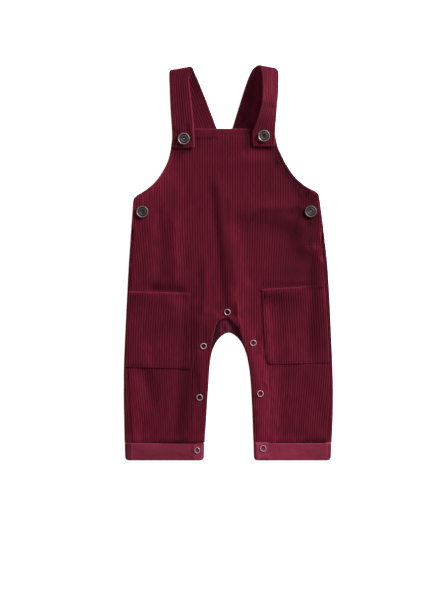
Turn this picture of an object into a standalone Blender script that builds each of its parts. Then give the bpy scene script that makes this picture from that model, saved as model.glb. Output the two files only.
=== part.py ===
"""A toddler's bib overalls in wide-wale corduroy, buttoned up and laid flat, front side up.

Lengths are in millimetres and become metres when a point is made. +X is to the right as one looks
down at the front, +Y runs up the garment towards the straps, +Z is up from the table it lies on.
The origin is on the table, under the middle of the garment. "left" and "right" are as seen from
above. Each cloth piece is a thin wall of its own. Pieces that are sewn together stand a seam gap
apart, and what lies on a panel is made from that panel's own surface, moved out.
"""

import math

import bmesh
import bpy
from mathutils import Vector

MM = 0.001
LEFT = 1   # column of the left-hand value in the tables below
RIGHT = 2  # column of the right-hand value

# Cloth
SEAM_GAP = 0.3      # between pieces that are sewn or lie on each other
WALL = 1.2          # corduroy, from its plain inside to the bottom of its grooves
WALE = 0.6          # height of a cord above the groove
BACK_WALL = 1.5     # the back lies face down, so its cords are pressed flat
CUFF_WALL = 1.5
FACING_WALL = 1.0
STRAP_THICKNESS = 3.0
STRAP_GROOVE = 0.5
STRAP_WALES = 9

# The wales fan out a little towards the bib: height, distance from one cord to the next
WALE_PITCH = (
    (183.0, 3.44),
    (58.0, 3.44),
    (28.0, 3.38),
    (-13.0, 3.28),
    (-112.0, 3.28),
    (-174.0, 3.17),
    (-215.0, 3.06),
    (-268.0, 3.00),
)
FIRST_WALE = -48
LAST_WALE = 48

# Heights along the garment
BIB_TOP = 183.4
BACK_TOP = 152.0
ARMHOLE_CORNER = 90.0
OPENING_END = 44.0       # foot of the buttoned side opening, where the side seam starts
SEAM_START = 24.0        # from here down the back wraps right round to the side seam
UNDERLAP = 3.0           # the back's edge lies this far in under the front beside the opening
UNDERLAP_RUN = 8.0       # and comes out to the fold over this height
SEAM_RUN = 3.0           # the front draws in to its side seam over this height, below the underlap
INSEAM_STEP = 0.6        # the front's inner leg edge lies this far inside the back's
CROTCH_TOP = -95.6
CROTCH_X = 0.3
LEG_END = -260.0         # cut end of the legs, inside the turn-ups
CUFF_TOP = -246.1
CUFF_BOTTOM = -269.7

# Outer edge of the flat garment: height, left x, right x
SIDE_EDGE = (
    (92.0, -127.7, 123.4),
    (84.0, -130.3, 124.9),
    (66.0, -131.5, 127.3),
    (45.0, -133.2, 130.0),
    (0.0, -136.4, 135.0),
    (-47.0, -138.9, 138.0),
    (-101.0, -141.5, 140.6),
    (-150.0, -143.2, 142.6),
    (-190.0, -143.2, 143.0),
    (-230.0, -142.5, 141.9),
    (-250.0, -141.8, 140.5),
    (-268.0, -140.9, 139.6),
)

# How far the side seam lies in from that edge, on the front: height, left, right
SIDE_SEAM = (
    (45.0, 3.4, 4.0),
    (-30.0, 3.4, 4.9),
    (-75.0, 3.4, 3.9),
    (-141.0, 5.2, 3.4),
    (-245.0, 10.9, 5.2),
    (-268.0, 10.9, 5.2),
)

# Inner edge of the legs: square root of the depth below the crotch's top, left x, right x
INSEAM = (
    (0.0, 0.3, 0.3),
    (1.0, -4.2, 4.5),
    (1.8, -8.0, 8.3),
    (2.6, -11.9, 12.5),
    (3.4, -15.7, 16.4),
    (4.25, -19.4, 20.1),
    (4.95, -21.9, 22.7),
    (5.65, -23.7, 25.1),
    (6.4, -25.2, 26.9),
    (7.2, -26.2, 28.7),
    (8.35, -27.3, 30.4),
    (9.6, -28.8, 31.7),
    (10.95, -30.5, 32.9),
    (12.15, -32.4, 33.9),
    (13.2, -33.6, 35.0),
)

FLAT_STEPS = 3           # columns across half of the flat of the back
FOLD_STEPS = 5           # and round its side fold
LEAST_WRAP = 0.01        # radians: below this the side fold is flat

# Cut of the back above the side opening, hidden under the bib: height, left x, right x
BACK_ARMHOLE = (
    (BACK_TOP, -38.0, 28.0),
    (135.0, -46.0, 36.0),
    (118.0, -62.0, 52.0),
    (103.0, -85.0, 76.0),
    (95.0, -106.0, 98.0),
    (90.0, -120.0, 113.0),
    (85.0, -127.0, 121.6),
)

# Armholes of the bib, from its top corner to the corner at the side: x, y
ARMHOLE_LEFT = (
    (-75.8, BIB_TOP),
    (-78.9, 155.3),
    (-82.9, 138.9),
    (-88.2, 128.0),
    (-94.9, 117.1),
    (-104.5, 106.2),
    (-119.2, 95.6),
    (-124.7, 92.6),
    (-129.0, 88.5),
)
ARMHOLE_RIGHT = (
    (62.1, BIB_TOP),
    (66.6, 160.8),
    (71.1, 149.9),
    (76.4, 138.9),
    (82.9, 128.0),
    (90.9, 117.1),
    (103.1, 106.2),
    (112.8, 100.7),
    (121.0, 96.2),
    (123.7, 91.5),
)

# Front edge of the crotch, cut higher than the back's: x, y
FRONT_CROTCH = (
    (-24.6, -128.0),
    (-22.5, -111.0),
    (-17.1, -85.7),
    (-11.0, -78.3),
    (-2.9, -75.2),
    (2.6, -77.6),
    (6.1, -82.3),
    (13.4, -88.8),
    (15.6, -95.4),
    (20.1, -111.0),
    (25.9, -128.0),
)

# Heights of the inside of the lying front above the table
FULL_LIFT = 4.6          # in the middle
BIB_LIFT = 3.5           # over the ends of the straps
LEAST_LIFT = 1.9
CROTCH_LIFT = 3.15       # over the facing of the back's crotch
CROTCH_ZONE = (-52.0, 52.0, -140.0, -60.0)  # x, x, y, y of that stretch
BIB_FLAT_FROM = 130.0    # the bib levels out between these heights
BIB_FLAT_TO = 150.0
DOME_REACH = 15.0        # distance from an edge over which the cloth rises
HEM_LIFT = 3.2           # inside the turn-ups
HEM_RISE = 1.8           # the legs climb onto the lower band of the turn-ups
HEM_RISE_FROM = -232.0
HEM_RISE_TO = -244.0
TUCK_FROM = -245.5       # and draw in at the mouth of the turn-ups
TUCK_TO = -246.0

# Height of the front's inside at its edges, higher where the seams' allowances are: height, lift
EDGE_LIFT = (
    (HEM_RISE_FROM, HEM_LIFT),
    (-200.0, 4.2),
    (OPENING_END, 4.2),
    (ARMHOLE_CORNER + 2.0, 3.8),
)

# Soft folds of the front: points x, y along it, half width, height (a trough is negative)
FOLDS = (
    (((-11.0, 101.0), (-7.0, 63.0), (-2.0, 26.0), (1.0, -10.0), (5.0, -46.0), (9.0, -62.0)), 10.0, 2.8),
    (((-24.0, 102.0), (-20.0, 63.0), (-15.0, 26.0), (-12.0, -10.0), (-10.0, -46.0)), 5.5, -0.9),
    (((20.0, -84.0), (33.0, -140.0), (38.0, -190.0), (44.0, -238.0)), 11.0, 1.8),
    (((66.0, -60.0), (70.0, -100.0), (74.0, -140.0), (72.0, -190.0), (72.0, -238.0)), 11.0, -1.6),
    (((-94.0, 66.0), (-93.0, 30.0), (-92.0, -18.0)), 7.0, -1.7),
    (((-75.0, 62.0), (-73.0, 20.0), (-72.0, -20.0)), 7.0, 1.5),
    (((-32.0, 4.0), (-31.0, -40.0), (-34.0, -66.0)), 5.5, 1.2),
    (((-38.0, -60.0), (-42.0, -110.0), (-46.0, -165.0), (-50.0, -238.0)), 8.5, 1.9),
    (((-61.0, -50.0), (-63.0, -120.0), (-70.0, -165.0), (-72.0, -238.0)), 9.0, -2.0),
    (((-118.0, -148.0), (-111.0, -170.0), (-104.0, -196.0)), 8.0, -1.7),
    (((26.0, 68.0), (60.0, 66.0), (84.0, 60.0), (98.0, 44.0), (104.0, 24.0)), 13.0, 2.7),
    (((112.0, 8.0), (113.0, -40.0), (112.0, -80.0), (110.0, -128.0)), 8.5, -2.1),
    (((-104.0, -36.0), (-70.0, -38.5)), 6.5, -1.7),
    (((-126.0, -49.0), (-80.0, -52.0)), 6.5, 1.1),
    (((56.0, -40.0), (92.0, -36.0)), 8.0, 1.1),
    (((6.0, 142.0), (62.0, 141.0)), 9.0, 0.9),
    (((54.0, 172.0), (67.0, 142.0), (78.0, 119.0), (97.0, 100.0), (114.0, 88.0)), 7.0, -1.5),
    (((-68.0, 150.0), (-78.0, 124.0), (-92.0, 104.0), (-112.0, 88.0)), 7.0, -1.2),
    (((120.0, -185.0), (121.0, -222.0)), 7.0, -1.0),
    (((-122.0, -205.0), (-120.0, -238.0)), 7.0, -0.9),
)

# Rows of points: down the front, closest where it folds and where it climbs into the turn-ups,
# down the side seams, and down the back
FRONT_ROWS = (186.0, 150.0, 120.0, 96.0, 74.0, 56.0, 40.0, 16.0, -12.0, -38.0, -62.0, -86.0, -112.0,
              -145.0, -190.0, HEM_RISE_FROM, HEM_RISE_TO, -264.0)
POCKET_ROWS = (16.0, -12.0, -38.0, -62.0, -86.0, -112.0, -145.0, -190.0)
SEAM_ROWS = (OPENING_END, 39.0, 34.0, 29.0, SEAM_START, 0.0, -30.0, -70.0, -101.4, -134.0, -167.0,
             -210.0, HEM_RISE_FROM, HEM_RISE_TO, TUCK_FROM, TUCK_TO, LEG_END)
BACK_ROWS = (BACK_TOP, 135.0, 118.0, 103.0, 95.0, 90.0, 85.0, 52.0, CROTCH_TOP, -95.9, -96.8, -98.4,
             -105.0, -110.5, -118.0)
FACING_ROWS = (-128.0, -118.0, -108.0, -101.8, -98.4, -96.6)

# Patch pockets, sewn on along the side seam: corners of the free edges, x, y
POCKET_LEFT = ((-52.6, -41.0), (-50.8, -144.8))
POCKET_RIGHT = ((44.6, -36.0), (46.8, -55.0), (47.7, -76.2), (49.5, -106.5), (50.8, -125.0), (53.9, -138.4))
POCKET_LEFT_MOUTH = -38.6
POCKET_LEFT_FOOT = -142.2
POCKET_RIGHT_MOUTH = -30.2
POCKET_RIGHT_FOOT = -136.5

# Straps: left x, y, z, right x, y, z of the middle layer. The left one lies flat, from the back's
# top edge to its bend, an axis and its radius at each end, and down to its buttoned end on the bib
STRAP_LEFT_BACK = (
    (-37.6, 152.4, 1.5, -5.1, 152.4, 1.5),
    (-45.0, 171.5, 1.5, -15.7, 182.6, 1.5),
    (-61.0, 211.4, 1.5, -29.9, 220.5, 1.5),
    (-74.0, 244.0, 1.5, -42.0, 250.5, 1.5),
)
STRAP_LEFT_BEND = (-81.0, 259.0, 4.5, -48.2, 264.5, 4.5, 3.0, 3.0)
STRAP_LEFT_FRONT = (
    (-80.9, 250.0, 7.4, -53.6, 251.5, 7.4),
    (-80.5, 240.0, 7.3, -53.0, 240.0, 7.3),
    (-79.6, 215.0, 6.8, -50.0, 215.0, 6.8),
    (-77.8, 188.0, 7.2, -47.4, 188.0, 7.2),
    (-77.2, 178.0, 7.2, -46.8, 178.0, 7.2),
    (-77.1, 156.5, 7.2, -45.6, 156.5, 7.2),
)
# The right one stands up on its inner edge at the shoulder, so its bend is open
STRAP_RIGHT = (
    (-4.1, 152.4, 1.5, 27.4, 152.4, 1.5),
    (4.9, 182.6, 1.5, 34.4, 172.7, 1.5),
    (15.1, 216.0, 2.2, 45.8, 206.0, 1.5),
    (24.9, 246.0, 7.6, 55.2, 236.0, 1.7),
    (29.5, 257.8, 11.0, 62.2, 252.0, 1.9),
    (33.1, 263.6, 13.6, 67.0, 260.6, 2.0),
    (37.0, 266.7, 15.8, 68.3, 263.4, 3.4),
    (41.0, 267.7, 18.0, 68.6, 264.0, 5.0),
    (43.6, 265.0, 20.2, 68.5, 262.9, 6.6),
    (45.0, 259.0, 22.4, 68.3, 258.5, 7.6),
    (45.9, 249.0, 24.0, 68.1, 247.4, 6.7),
    (46.3, 234.0, 24.6, 67.6, 231.8, 5.0),
    (45.2, 217.0, 23.6, 66.1, 215.0, 4.8),
    (40.6, 200.0, 18.0, 65.2, 199.0, 6.0),
    (35.0, 186.0, 11.0, 64.2, 188.0, 7.3),
    (32.2, 175.0, 7.3, 63.5, 175.0, 7.2),
    (32.8, 158.8, 7.2, 63.2, 158.2, 7.2),
)
STRAP_LEFT_APEX = 6      # station at the top of the bend
STRAP_RIGHT_APEX = 7
STRAP_LEFT_CORNERS = (3.6, 4.6)   # radii of the corners there, seen from above
STRAP_RIGHT_CORNERS = (0.5, 6.0)
BEND_STEPS = 4
STRAP_EDGE = 0.8         # half thickness of a strap's rounded edges

# The right pocket's outer edge lies just in from the side seam, the left one's laps over it nearly to
# the fold; both bend with the garment's side at these heights
POCKET_SEAM_GAP = 0.6
POCKET_LAP_EDGE = 1.5
POCKET_SEAM_ROWS = (-55.0, -80.0, -110.0)
CUTTER_LOW = -5.0
CUTTER_HIGH = 25.0

# Turn-ups: left x and right x of each, and their height off the table
CUFF_LEFT = (-141.8, -32.9)
CUFF_RIGHT = (34.0, 140.6)
CUFF_HEIGHT = 8.6
LEG_TUCK = 2.8           # the legs are this much narrower inside the turn-ups
INSEAM_TUCK = 4.6        # and their open inner edges draw in further, clear of the round end
CUFF_CORNER = ((CUFF_TOP, 0.0), (-256.0, 0.25), (-262.0, 0.6), (-266.0, 1.1), (-268.6, 2.7),
               (CUFF_BOTTOM, 4.3))

# Buttons and snaps: name, x, y
BUTTON_DIAMETER = 16.5
BIB_BUTTONS = (
    ("button_bib_left", -61.0, 169.1),
    ("button_bib_right", 48.3, 173.0),
)
SIDE_BUTTONS = (
    ("button_side_left", -117.6, 69.6),
    ("button_side_right", 112.1, 70.0),
)
SNAP_DIAMETER = 8.6
SNAP_WIRE = 1.1
SNAPS = (
    ("snap_crotch", -1.4, -67.3),
    ("snap_left_top", -34.3, -113.7),
    ("snap_left_middle", -39.6, -183.7),
    ("snap_right_top", 33.8, -109.4),
    ("snap_right_middle", 43.3, -178.5),
)
CUFF_SNAPS = (
    ("snap_left_cuff", -42.7, -255.8),
    ("snap_right_cuff", 47.4, -253.3),
)

# Base colours (linear), roughness, metallic
CORDUROY = ((0.095, 0.0085, 0.021), 0.9, 0.0)
CORDUROY_INSIDE = ((0.17, 0.018, 0.042), 0.85, 0.0)
GUNMETAL = ((0.12, 0.11, 0.11), 0.35, 1.0)
NICKEL = ((0.62, 0.60, 0.58), 0.25, 1.0)


def new_collection(name):
    """A collection in the scene."""
    collection = bpy.data.collections.new(name)
    bpy.context.scene.collection.children.link(collection)
    return collection


def point(x, y, z):
    """A point given in millimetres."""
    return Vector((x, y, z)) * MM


def along(table, y, column):
    """Smooth value of a table's column at height y. The table's first column is the height."""
    rows = sorted(table)
    if y <= rows[0][0]:
        return rows[0][column]
    if y >= rows[-1][0]:
        return rows[-1][column]
    low = max(i for i in range(len(rows) - 1) if rows[i][0] <= y)

    def slope(i):
        before = rows[max(i - 1, 0)]
        after = rows[min(i + 1, len(rows) - 1)]
        return (after[column] - before[column]) / (after[0] - before[0])

    span = rows[low + 1][0] - rows[low][0]
    t = (y - rows[low][0]) / span
    start = rows[low][column] * (2 * t ** 3 - 3 * t ** 2 + 1)
    end = rows[low + 1][column] * (3 * t ** 2 - 2 * t ** 3)
    bow = slope(low) * (t ** 3 - 2 * t ** 2 + t) + slope(low + 1) * (t ** 3 - t ** 2)
    return start + end + span * bow


def curve_through(points, steps):
    """Points of a smooth curve through the given x, y points."""
    result = []
    last = len(points) - 1
    for i in range(last):
        p0 = Vector(points[max(i - 1, 0)])
        p1 = Vector(points[i])
        p2 = Vector(points[i + 1])
        p3 = Vector(points[min(i + 2, last)])
        for step in range(steps):
            t = step / steps
            result.append(0.5 * (2 * p1 + (p2 - p0) * t + (2 * p0 - 5 * p1 + 4 * p2 - p3) * t ** 2
                                 + (3 * p1 - 3 * p2 + p3 - p0) * t ** 3))
    result.append(Vector(points[last]))
    return result


def ease(value):
    """0 to 1 with a smooth start and end."""
    value = min(max(value, 0.0), 1.0)
    return value * value * (3 - 2 * value)


def segment_distance(x, y, a, b):
    """Distance of x, y from the stretch between two points."""
    run = b - a
    length = run.length_squared
    t = 0.0 if length == 0 else min(max((Vector((x, y)) - a).dot(run) / length, 0.0), 1.0)
    return (Vector((x, y)) - a - run * t).length


def pitch(y):
    """Distance between wales at height y."""
    return along(WALE_PITCH, y, 1)


def hem_rise(y):
    """How far the legs have climbed onto the lower band of the turn-ups."""
    return HEM_RISE * ease((HEM_RISE_FROM - y) / (HEM_RISE_FROM - HEM_RISE_TO))


def tuck(y, depth):
    """How far a leg's edge draws in to go inside the turn-up."""
    return depth * ease((TUCK_FROM - y) / (TUCK_FROM - TUCK_TO))


def inseam(y, side):
    """x of a leg's inner edge: a round arch at the crotch, then nearly straight down."""
    return along(INSEAM, math.sqrt(max(CROTCH_TOP - y, 0.0)), side)


def front_side(y, side):
    """x of the front's cut edge: free above the side seam, then along it."""
    inward = 1 if side == LEFT else -1
    seam = along(SIDE_SEAM, y, side) + SEAM_GAP
    joined = ease((OPENING_END + SEAM_RUN - y) / SEAM_RUN)
    return along(SIDE_EDGE, y, side) + inward * (seam * joined + tuck(y, LEG_TUCK))


def front_inseam(y, side):
    """x of the front's edge along the snapped inseam, just inside the back's."""
    outward = -1 if side == LEFT else 1
    return inseam(y, side) + outward * (INSEAM_STEP + tuck(y, INSEAM_TUCK))


def front_outline():
    """Outline of the front, cut on the fold in one piece with both legs."""
    side_rows = (84.0, 66.0, OPENING_END + SEAM_RUN, *SEAM_ROWS)
    leg_rows = (LEG_END, TUCK_TO, TUCK_FROM, HEM_RISE_FROM, -210.0, -188.0, -167.0, -148.0)
    outline = list(curve_through(ARMHOLE_RIGHT, 2))
    outline += [Vector((front_side(y, RIGHT), y)) for y in side_rows]
    outline += [Vector((front_inseam(y, RIGHT), y)) for y in leg_rows]
    outline += reversed(curve_through(FRONT_CROTCH, 2))
    outline += [Vector((front_inseam(y, LEFT), y)) for y in reversed(leg_rows)]
    outline += [Vector((front_side(y, LEFT), y)) for y in reversed(side_rows)]
    outline += reversed(curve_through(ARMHOLE_LEFT, 2))
    return outline


def edge_distance(x, y, outline):
    """Distance in from the front's edge, leaving out the bib's free top edge."""
    pairs = zip(outline, outline[1:])
    return min(segment_distance(x, y, a, b) for a, b in pairs)


def front_inside(x, y, outline):
    """Height of the front's inside above the table: a low dome, with the soft folds in it."""
    dome = 1 - math.exp(-(edge_distance(x, y, outline) / DOME_REACH) ** 2)
    edge = along(EDGE_LIFT, y, 1)
    height = edge + (FULL_LIFT - edge) * dome
    for path, half_width, rise in FOLDS:
        distance = min(segment_distance(x, y, Vector(a), Vector(b)) for a, b in zip(path, path[1:]))
        height += rise * math.exp(-(distance / half_width) ** 2)
    over_crotch = CROTCH_ZONE[0] < x < CROTCH_ZONE[1] and CROTCH_ZONE[2] < y < CROTCH_ZONE[3]
    height = max(height, CROTCH_LIFT if over_crotch else LEAST_LIFT)
    flat = ease((y - BIB_FLAT_FROM) / (BIB_FLAT_TO - BIB_FLAT_FROM))
    hem = ease((HEM_RISE_FROM - y) / (HEM_RISE_FROM - HEM_RISE_TO))
    height = height * (1 - flat) + BIB_LIFT * flat
    return height * (1 - hem) + HEM_LIFT * hem + hem_rise(y)


def face_strip(bm, first, second):
    """Triangles between two rows with the same number of points."""
    for i in range(len(first) - 1):
        bm.faces.new((first[i], first[i + 1], second[i]))
        bm.faces.new((first[i + 1], second[i + 1], second[i]))


def corduroy_slab(name, rows, inside, inside_step):
    """A closed wall of corduroy: cords and grooves on top, a plain inside below."""
    bm = bmesh.new()
    top = []
    bottom = []
    for y in rows:
        halves = range(2 * FIRST_WALE, 2 * LAST_WALE + 1)
        wales = range(FIRST_WALE, LAST_WALE + 1, inside_step)
        heights = {half: inside(half / 2 * pitch(y), y) for half in halves}
        top.append([bm.verts.new(point(half / 2 * pitch(y), y,
                                       heights[half] + WALL + (WALE if half % 2 == 0 else 0)))
                    for half in halves])
        bottom.append([bm.verts.new(point(k * pitch(y), y, heights[2 * k])) for k in wales])
    for upper, lower in zip(top, top[1:]):
        face_strip(bm, upper, lower)
    for upper, lower in zip(bottom, bottom[1:]):
        face_strip(bm, lower, upper)
    for i in range(len(rows) - 1):
        bm.faces.new((top[i][0], top[i + 1][0], bottom[i + 1][0], bottom[i][0]))
        bm.faces.new((top[i + 1][-1], top[i][-1], bottom[i][-1], bottom[i + 1][-1]))
    bm.faces.new(top[0][::-1] + bottom[0])
    bm.faces.new(top[-1] + bottom[-1][::-1])
    bmesh.ops.recalc_face_normals(bm, faces=bm.faces)
    return mesh_object(name, bm)


def mesh_object(name, bm):
    """An object from a bmesh."""
    mesh = bpy.data.meshes.new(name)
    bm.to_mesh(mesh)
    bm.free()
    return bpy.data.objects.new(name, mesh)


def plate(name, outline, low, high):
    """A flat plate of the given outline, between two heights."""
    bm = bmesh.new()
    face = bm.faces.new([bm.verts.new(point(x, y, low)) for x, y in outline])
    raised = bmesh.ops.extrude_face_region(bm, geom=[face])
    lifted = [part for part in raised["geom"] if isinstance(part, bmesh.types.BMVert)]
    bmesh.ops.translate(bm, verts=lifted, vec=point(0, 0, high - low))
    bmesh.ops.recalc_face_normals(bm, faces=bm.faces)
    return mesh_object(name, bm)


def cut_to_outline(piece, outline, cutters):
    """Cut a slab of cloth to its outline."""
    cutter = plate(piece.name + "_pattern", outline, CUTTER_LOW, CUTTER_HIGH)
    cutters.objects.link(cutter)
    cutter.hide_render = True
    cutter.display_type = "WIRE"
    cut = piece.modifiers.new("cut to the pattern", "BOOLEAN")
    cut.operation = "INTERSECT"
    cut.object = cutter


def back_section(y, side):
    """Points of the back's outer surface at height y, from the middle or inseam out to its seam.

    Flat on the table, round the side fold, and back over the front edge to the side seam.
    """
    inward = 1 if side == LEFT else -1
    radius = (along(EDGE_LIFT, y, 1) + WALL + WALE) / 2
    wrap = math.pi * ease((OPENING_END - y) / (OPENING_END - SEAM_START))
    flap = along(SIDE_SEAM, y, side) - radius
    base = hem_rise(y)
    inner = CROTCH_X if y >= CROTCH_TOP else inseam(y, side) - inward * tuck(y, INSEAM_TUCK)
    if y >= ARMHOLE_CORNER - 5.0:
        edge = along(BACK_ARMHOLE, y, side)
        reach = math.pi * radius + flap
    else:
        under = UNDERLAP * ease((y - OPENING_END - SEAM_RUN) / UNDERLAP_RUN)
        edge = along(SIDE_EDGE, y, side) + inward * (under + tuck(y, LEG_TUCK))
        bend = math.pi * radius / max(wrap, LEAST_WRAP)
        reach = bend * (math.sin(max(wrap, LEAST_WRAP)) if wrap < math.pi / 2 else 1.0)
        reach += flap * max(math.cos(wrap), 0.0)
    start = edge + inward * reach
    points = [(inner + (start - inner) * i / FLAT_STEPS, base) for i in range(FLAT_STEPS + 1)]
    arc = math.pi * radius
    for i in range(1, FOLD_STEPS + 1):
        angle = wrap * i / FOLD_STEPS
        if wrap < LEAST_WRAP:
            points.append((start - inward * arc * i / FOLD_STEPS, base))
        else:
            bend = arc / wrap
            points.append((start - inward * bend * math.sin(angle), base + bend * (1 - math.cos(angle))))
    last_x, last_z = points[-1]
    points.append((last_x - inward * flap * math.cos(wrap), last_z + flap * math.sin(wrap)))
    return points


def make_back():
    """The back, in one piece with its legs, lying face down and wrapped round the side edges."""
    bm = bmesh.new()
    middle = {}
    for side in (LEFT, RIGHT):
        lines = []
        for y in sorted(BACK_ROWS + SEAM_ROWS, reverse=True):
            section = back_section(y, side)
            line = [bm.verts.new(point(x, y, z)) for x, z in section[1:]]
            if y >= CROTCH_TOP and y in middle:
                line.insert(0, middle[y])
            else:
                line.insert(0, bm.verts.new(point(section[0][0], y, section[0][1])))
                middle[y] = line[0]
            lines.append(line)
        for upper, lower in zip(lines, lines[1:]):
            if side == LEFT:
                face_strip(bm, lower, upper)
            else:
                face_strip(bm, upper, lower)
    back = mesh_object("back", bm)
    wall = back.modifiers.new("cloth", "SOLIDIFY")
    wall.thickness = BACK_WALL * MM
    wall.offset = -1.0
    wall.use_even_offset = True
    return back


def make_crotch_facing():
    """The facing inside the back's crotch, seen where the front is cut away above it."""
    outline = [Vector((inseam(y, LEFT) - 0.8, y + 0.8)) for y in FACING_ROWS]
    outline.append(Vector((CROTCH_X, CROTCH_TOP + 1.0)))
    outline += [Vector((inseam(y, RIGHT) + 0.8, y + 0.8)) for y in reversed(FACING_ROWS)]
    outer = ((45.0, -127.2), (41.0, -100.0), (29.0, -78.0), (CROTCH_X, -67.0), (-28.0, -78.0),
             (-40.0, -100.0), (-44.0, -127.2))
    outline += curve_through(outer, 2)
    low = BACK_WALL + SEAM_GAP
    return plate("crotch_facing", outline, low, low + FACING_WALL)


def bent_over(back_rows, bend, front_rows):
    """Stations of a strap that goes up the table, over a flat bend and down to the bib."""
    left_axis = Vector(bend[0:3])
    right_axis = Vector(bend[3:6])
    line = right_axis - left_axis
    outward = Vector((-line.y, line.x, 0)).normalized()
    rows = list(back_rows)
    for step in range(BEND_STEPS + 1):
        angle = math.pi * (step / BEND_STEPS - 0.5)
        turn = outward * math.cos(angle) + Vector((0, 0, math.sin(angle)))
        rows.append((*(left_axis + turn * bend[6]), *(right_axis + turn * bend[7])))
    return rows + list(front_rows)


def drawn_in(spot, top, radius):
    """How far a strap's edge draws in at a spot, to round the corner whose top is given."""
    below = min((spot.xy - top.xy).length, radius)
    return radius - math.sqrt(radius ** 2 - (radius - below) ** 2)


def make_strap(name, stations, apex, corners):
    """A double strap with cords along it, turned in at both edges."""
    rows = [(Vector(row[0:3]), Vector(row[3:6])) for row in stations]
    tops = rows[apex]
    columns = 2 * STRAP_WALES
    half = STRAP_THICKNESS / 2
    bm = bmesh.new()
    loops = []
    for i, (left, right) in enumerate(rows):
        before = rows[max(i - 1, 0)]
        after = rows[min(i + 1, len(rows) - 1)]
        run = (after[0] + after[1] - before[0] - before[1]).normalized()
        along_width = (right - left).normalized()
        left = left + along_width * drawn_in(left, tops[0], corners[0])
        right = right - along_width * drawn_in(right, tops[1], corners[1])
        across = right - left
        out = run.cross(across).normalized()
        groove_out = STRAP_GROOVE if i > apex - 2 else 0.0
        outer = []
        inner = []
        for column in range(columns + 1):
            spot = left + across * column / columns
            at_edge = column in (0, columns)
            in_groove = column % 2 == 0
            outer_half = STRAP_EDGE if at_edge else half - groove_out * in_groove
            inner_half = STRAP_EDGE if at_edge else half - STRAP_GROOVE * in_groove
            outer.append(bm.verts.new((spot + out * outer_half) * MM))
            inner.append(bm.verts.new((spot - out * inner_half) * MM))
        loops.append(outer + inner[::-1])
    for first, second in zip(loops, loops[1:]):
        face_strip(bm, first + first[:1], second + second[:1])
    bm.faces.new(loops[0])
    bm.faces.new(loops[-1][::-1])
    bmesh.ops.recalc_face_normals(bm, faces=bm.faces)
    return mesh_object(name, bm)


def flat_loop(left, right, low, high):
    """A flattened ring in x and z, with round ends."""
    radius = (high - low) / 2
    end_steps = 4
    loop = []
    for centre, start in ((right - radius, -math.pi / 2), (left + radius, math.pi / 2)):
        for step in range(end_steps + 1):
            angle = start + math.pi * step / end_steps
            loop.append((centre + radius * math.cos(angle), low + radius + radius * math.sin(angle)))
    return loop


def make_cuff(name, ends):
    """A leg's turned-up hem, a flattened band round the end of the leg."""
    bm = bmesh.new()
    outside = []
    inside = []
    for y, corner in CUFF_CORNER:
        left = ends[0] + corner
        right = ends[1] - corner
        outer = flat_loop(left, right, 0.0, CUFF_HEIGHT)
        inner = flat_loop(left + CUFF_WALL, right - CUFF_WALL, CUFF_WALL, CUFF_HEIGHT - CUFF_WALL)
        outside.append([bm.verts.new(point(x, y, z)) for x, z in outer])
        inside.append([bm.verts.new(point(x, y, z)) for x, z in inner])
    for first, second in zip(outside, outside[1:]):
        face_strip(bm, first + first[:1], second + second[:1])
    for first, second in zip(inside, inside[1:]):
        face_strip(bm, second + second[:1], first + first[:1])
    for outer, inner in ((outside[0], inside[0]), (inside[-1], outside[-1])):
        face_strip(bm, inner + inner[:1], outer + outer[:1])
    bmesh.ops.recalc_face_normals(bm, faces=bm.faces)
    return mesh_object(name, bm)


def seat(piece, x, y, radius, surface):
    """Lay a round piece on a surface, tilted with it and clear of its highest cord."""
    slope_x = (surface(x + radius, y) - surface(x - radius, y)) / (2 * radius)
    slope_y = (surface(x, y + radius) - surface(x, y - radius)) / (2 * radius)
    height = surface(x, y)
    for step in range(12):
        angle = math.tau * step / 12
        dx = radius * math.cos(angle)
        dy = radius * math.sin(angle)
        height = max(height, surface(x + dx, y + dy) - slope_x * dx - slope_y * dy)
    normal = Vector((-slope_x, -slope_y, 1)).normalized()
    piece.location = point(x, y, height) + normal * SEAM_GAP * MM
    piece.rotation_euler = normal.to_track_quat("Z", "Y").to_euler()


def make_button(name):
    """A metal shank button: a dished cap with a raised rim, on a short shank."""
    rim = BUTTON_DIAMETER / 2
    profile = ((0.0, 3.0), (2.2, 3.0), (2.9, 3.6), (rim - 2.6, 3.4), (rim - 0.9, 4.3), (rim, 3.5),
               (rim - 0.5, 2.4), (3.2, 1.7), (3.2, 0.0), (0.0, 0.0))
    bm = bmesh.new()
    points = [bm.verts.new(point(x, 0, z)) for x, z in profile]
    for a, b in zip(points, points[1:]):
        bm.edges.new((a, b))
    button = mesh_object(name, bm)
    turn = button.modifiers.new("turned", "SCREW")
    turn.steps = 18
    turn.render_steps = 18
    turn.use_merge_vertices = True
    turn.merge_threshold = 0.00005
    turn.use_normal_calculate = True
    button.data.shade_smooth()
    return button


def make_snap(name):
    """The ring of a snap fastener, with its flat foot on the cloth."""
    wire = SNAP_WIRE / 2
    bpy.ops.mesh.primitive_torus_add(
        major_radius=(SNAP_DIAMETER / 2 - wire) * MM, minor_radius=wire * MM,
        major_segments=16, minor_segments=5)
    ring = bpy.context.object
    ring.name = name
    for vertex in ring.data.vertices:
        vertex.co.z = (vertex.co.z + wire * MM) * 0.75
    for collection in list(ring.users_collection):
        collection.objects.unlink(ring)
    ring.data.shade_smooth()
    return ring


def finish(piece, look, collection, holder):
    """Give a piece its material and its place in the garment."""
    colour, roughness, metallic = look
    material = bpy.data.materials.new(piece.name)
    material.use_nodes = True
    shader = material.node_tree.nodes["Principled BSDF"]
    shader.inputs["Base Color"].default_value = (*colour, 1.0)
    shader.inputs["Roughness"].default_value = roughness
    shader.inputs["Metallic"].default_value = metallic
    piece.data.materials.clear()
    piece.data.materials.append(material)
    collection.objects.link(piece)
    piece.parent = holder


for existing in list(bpy.data.objects):
    bpy.data.objects.remove(existing, do_unlink=True)

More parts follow.
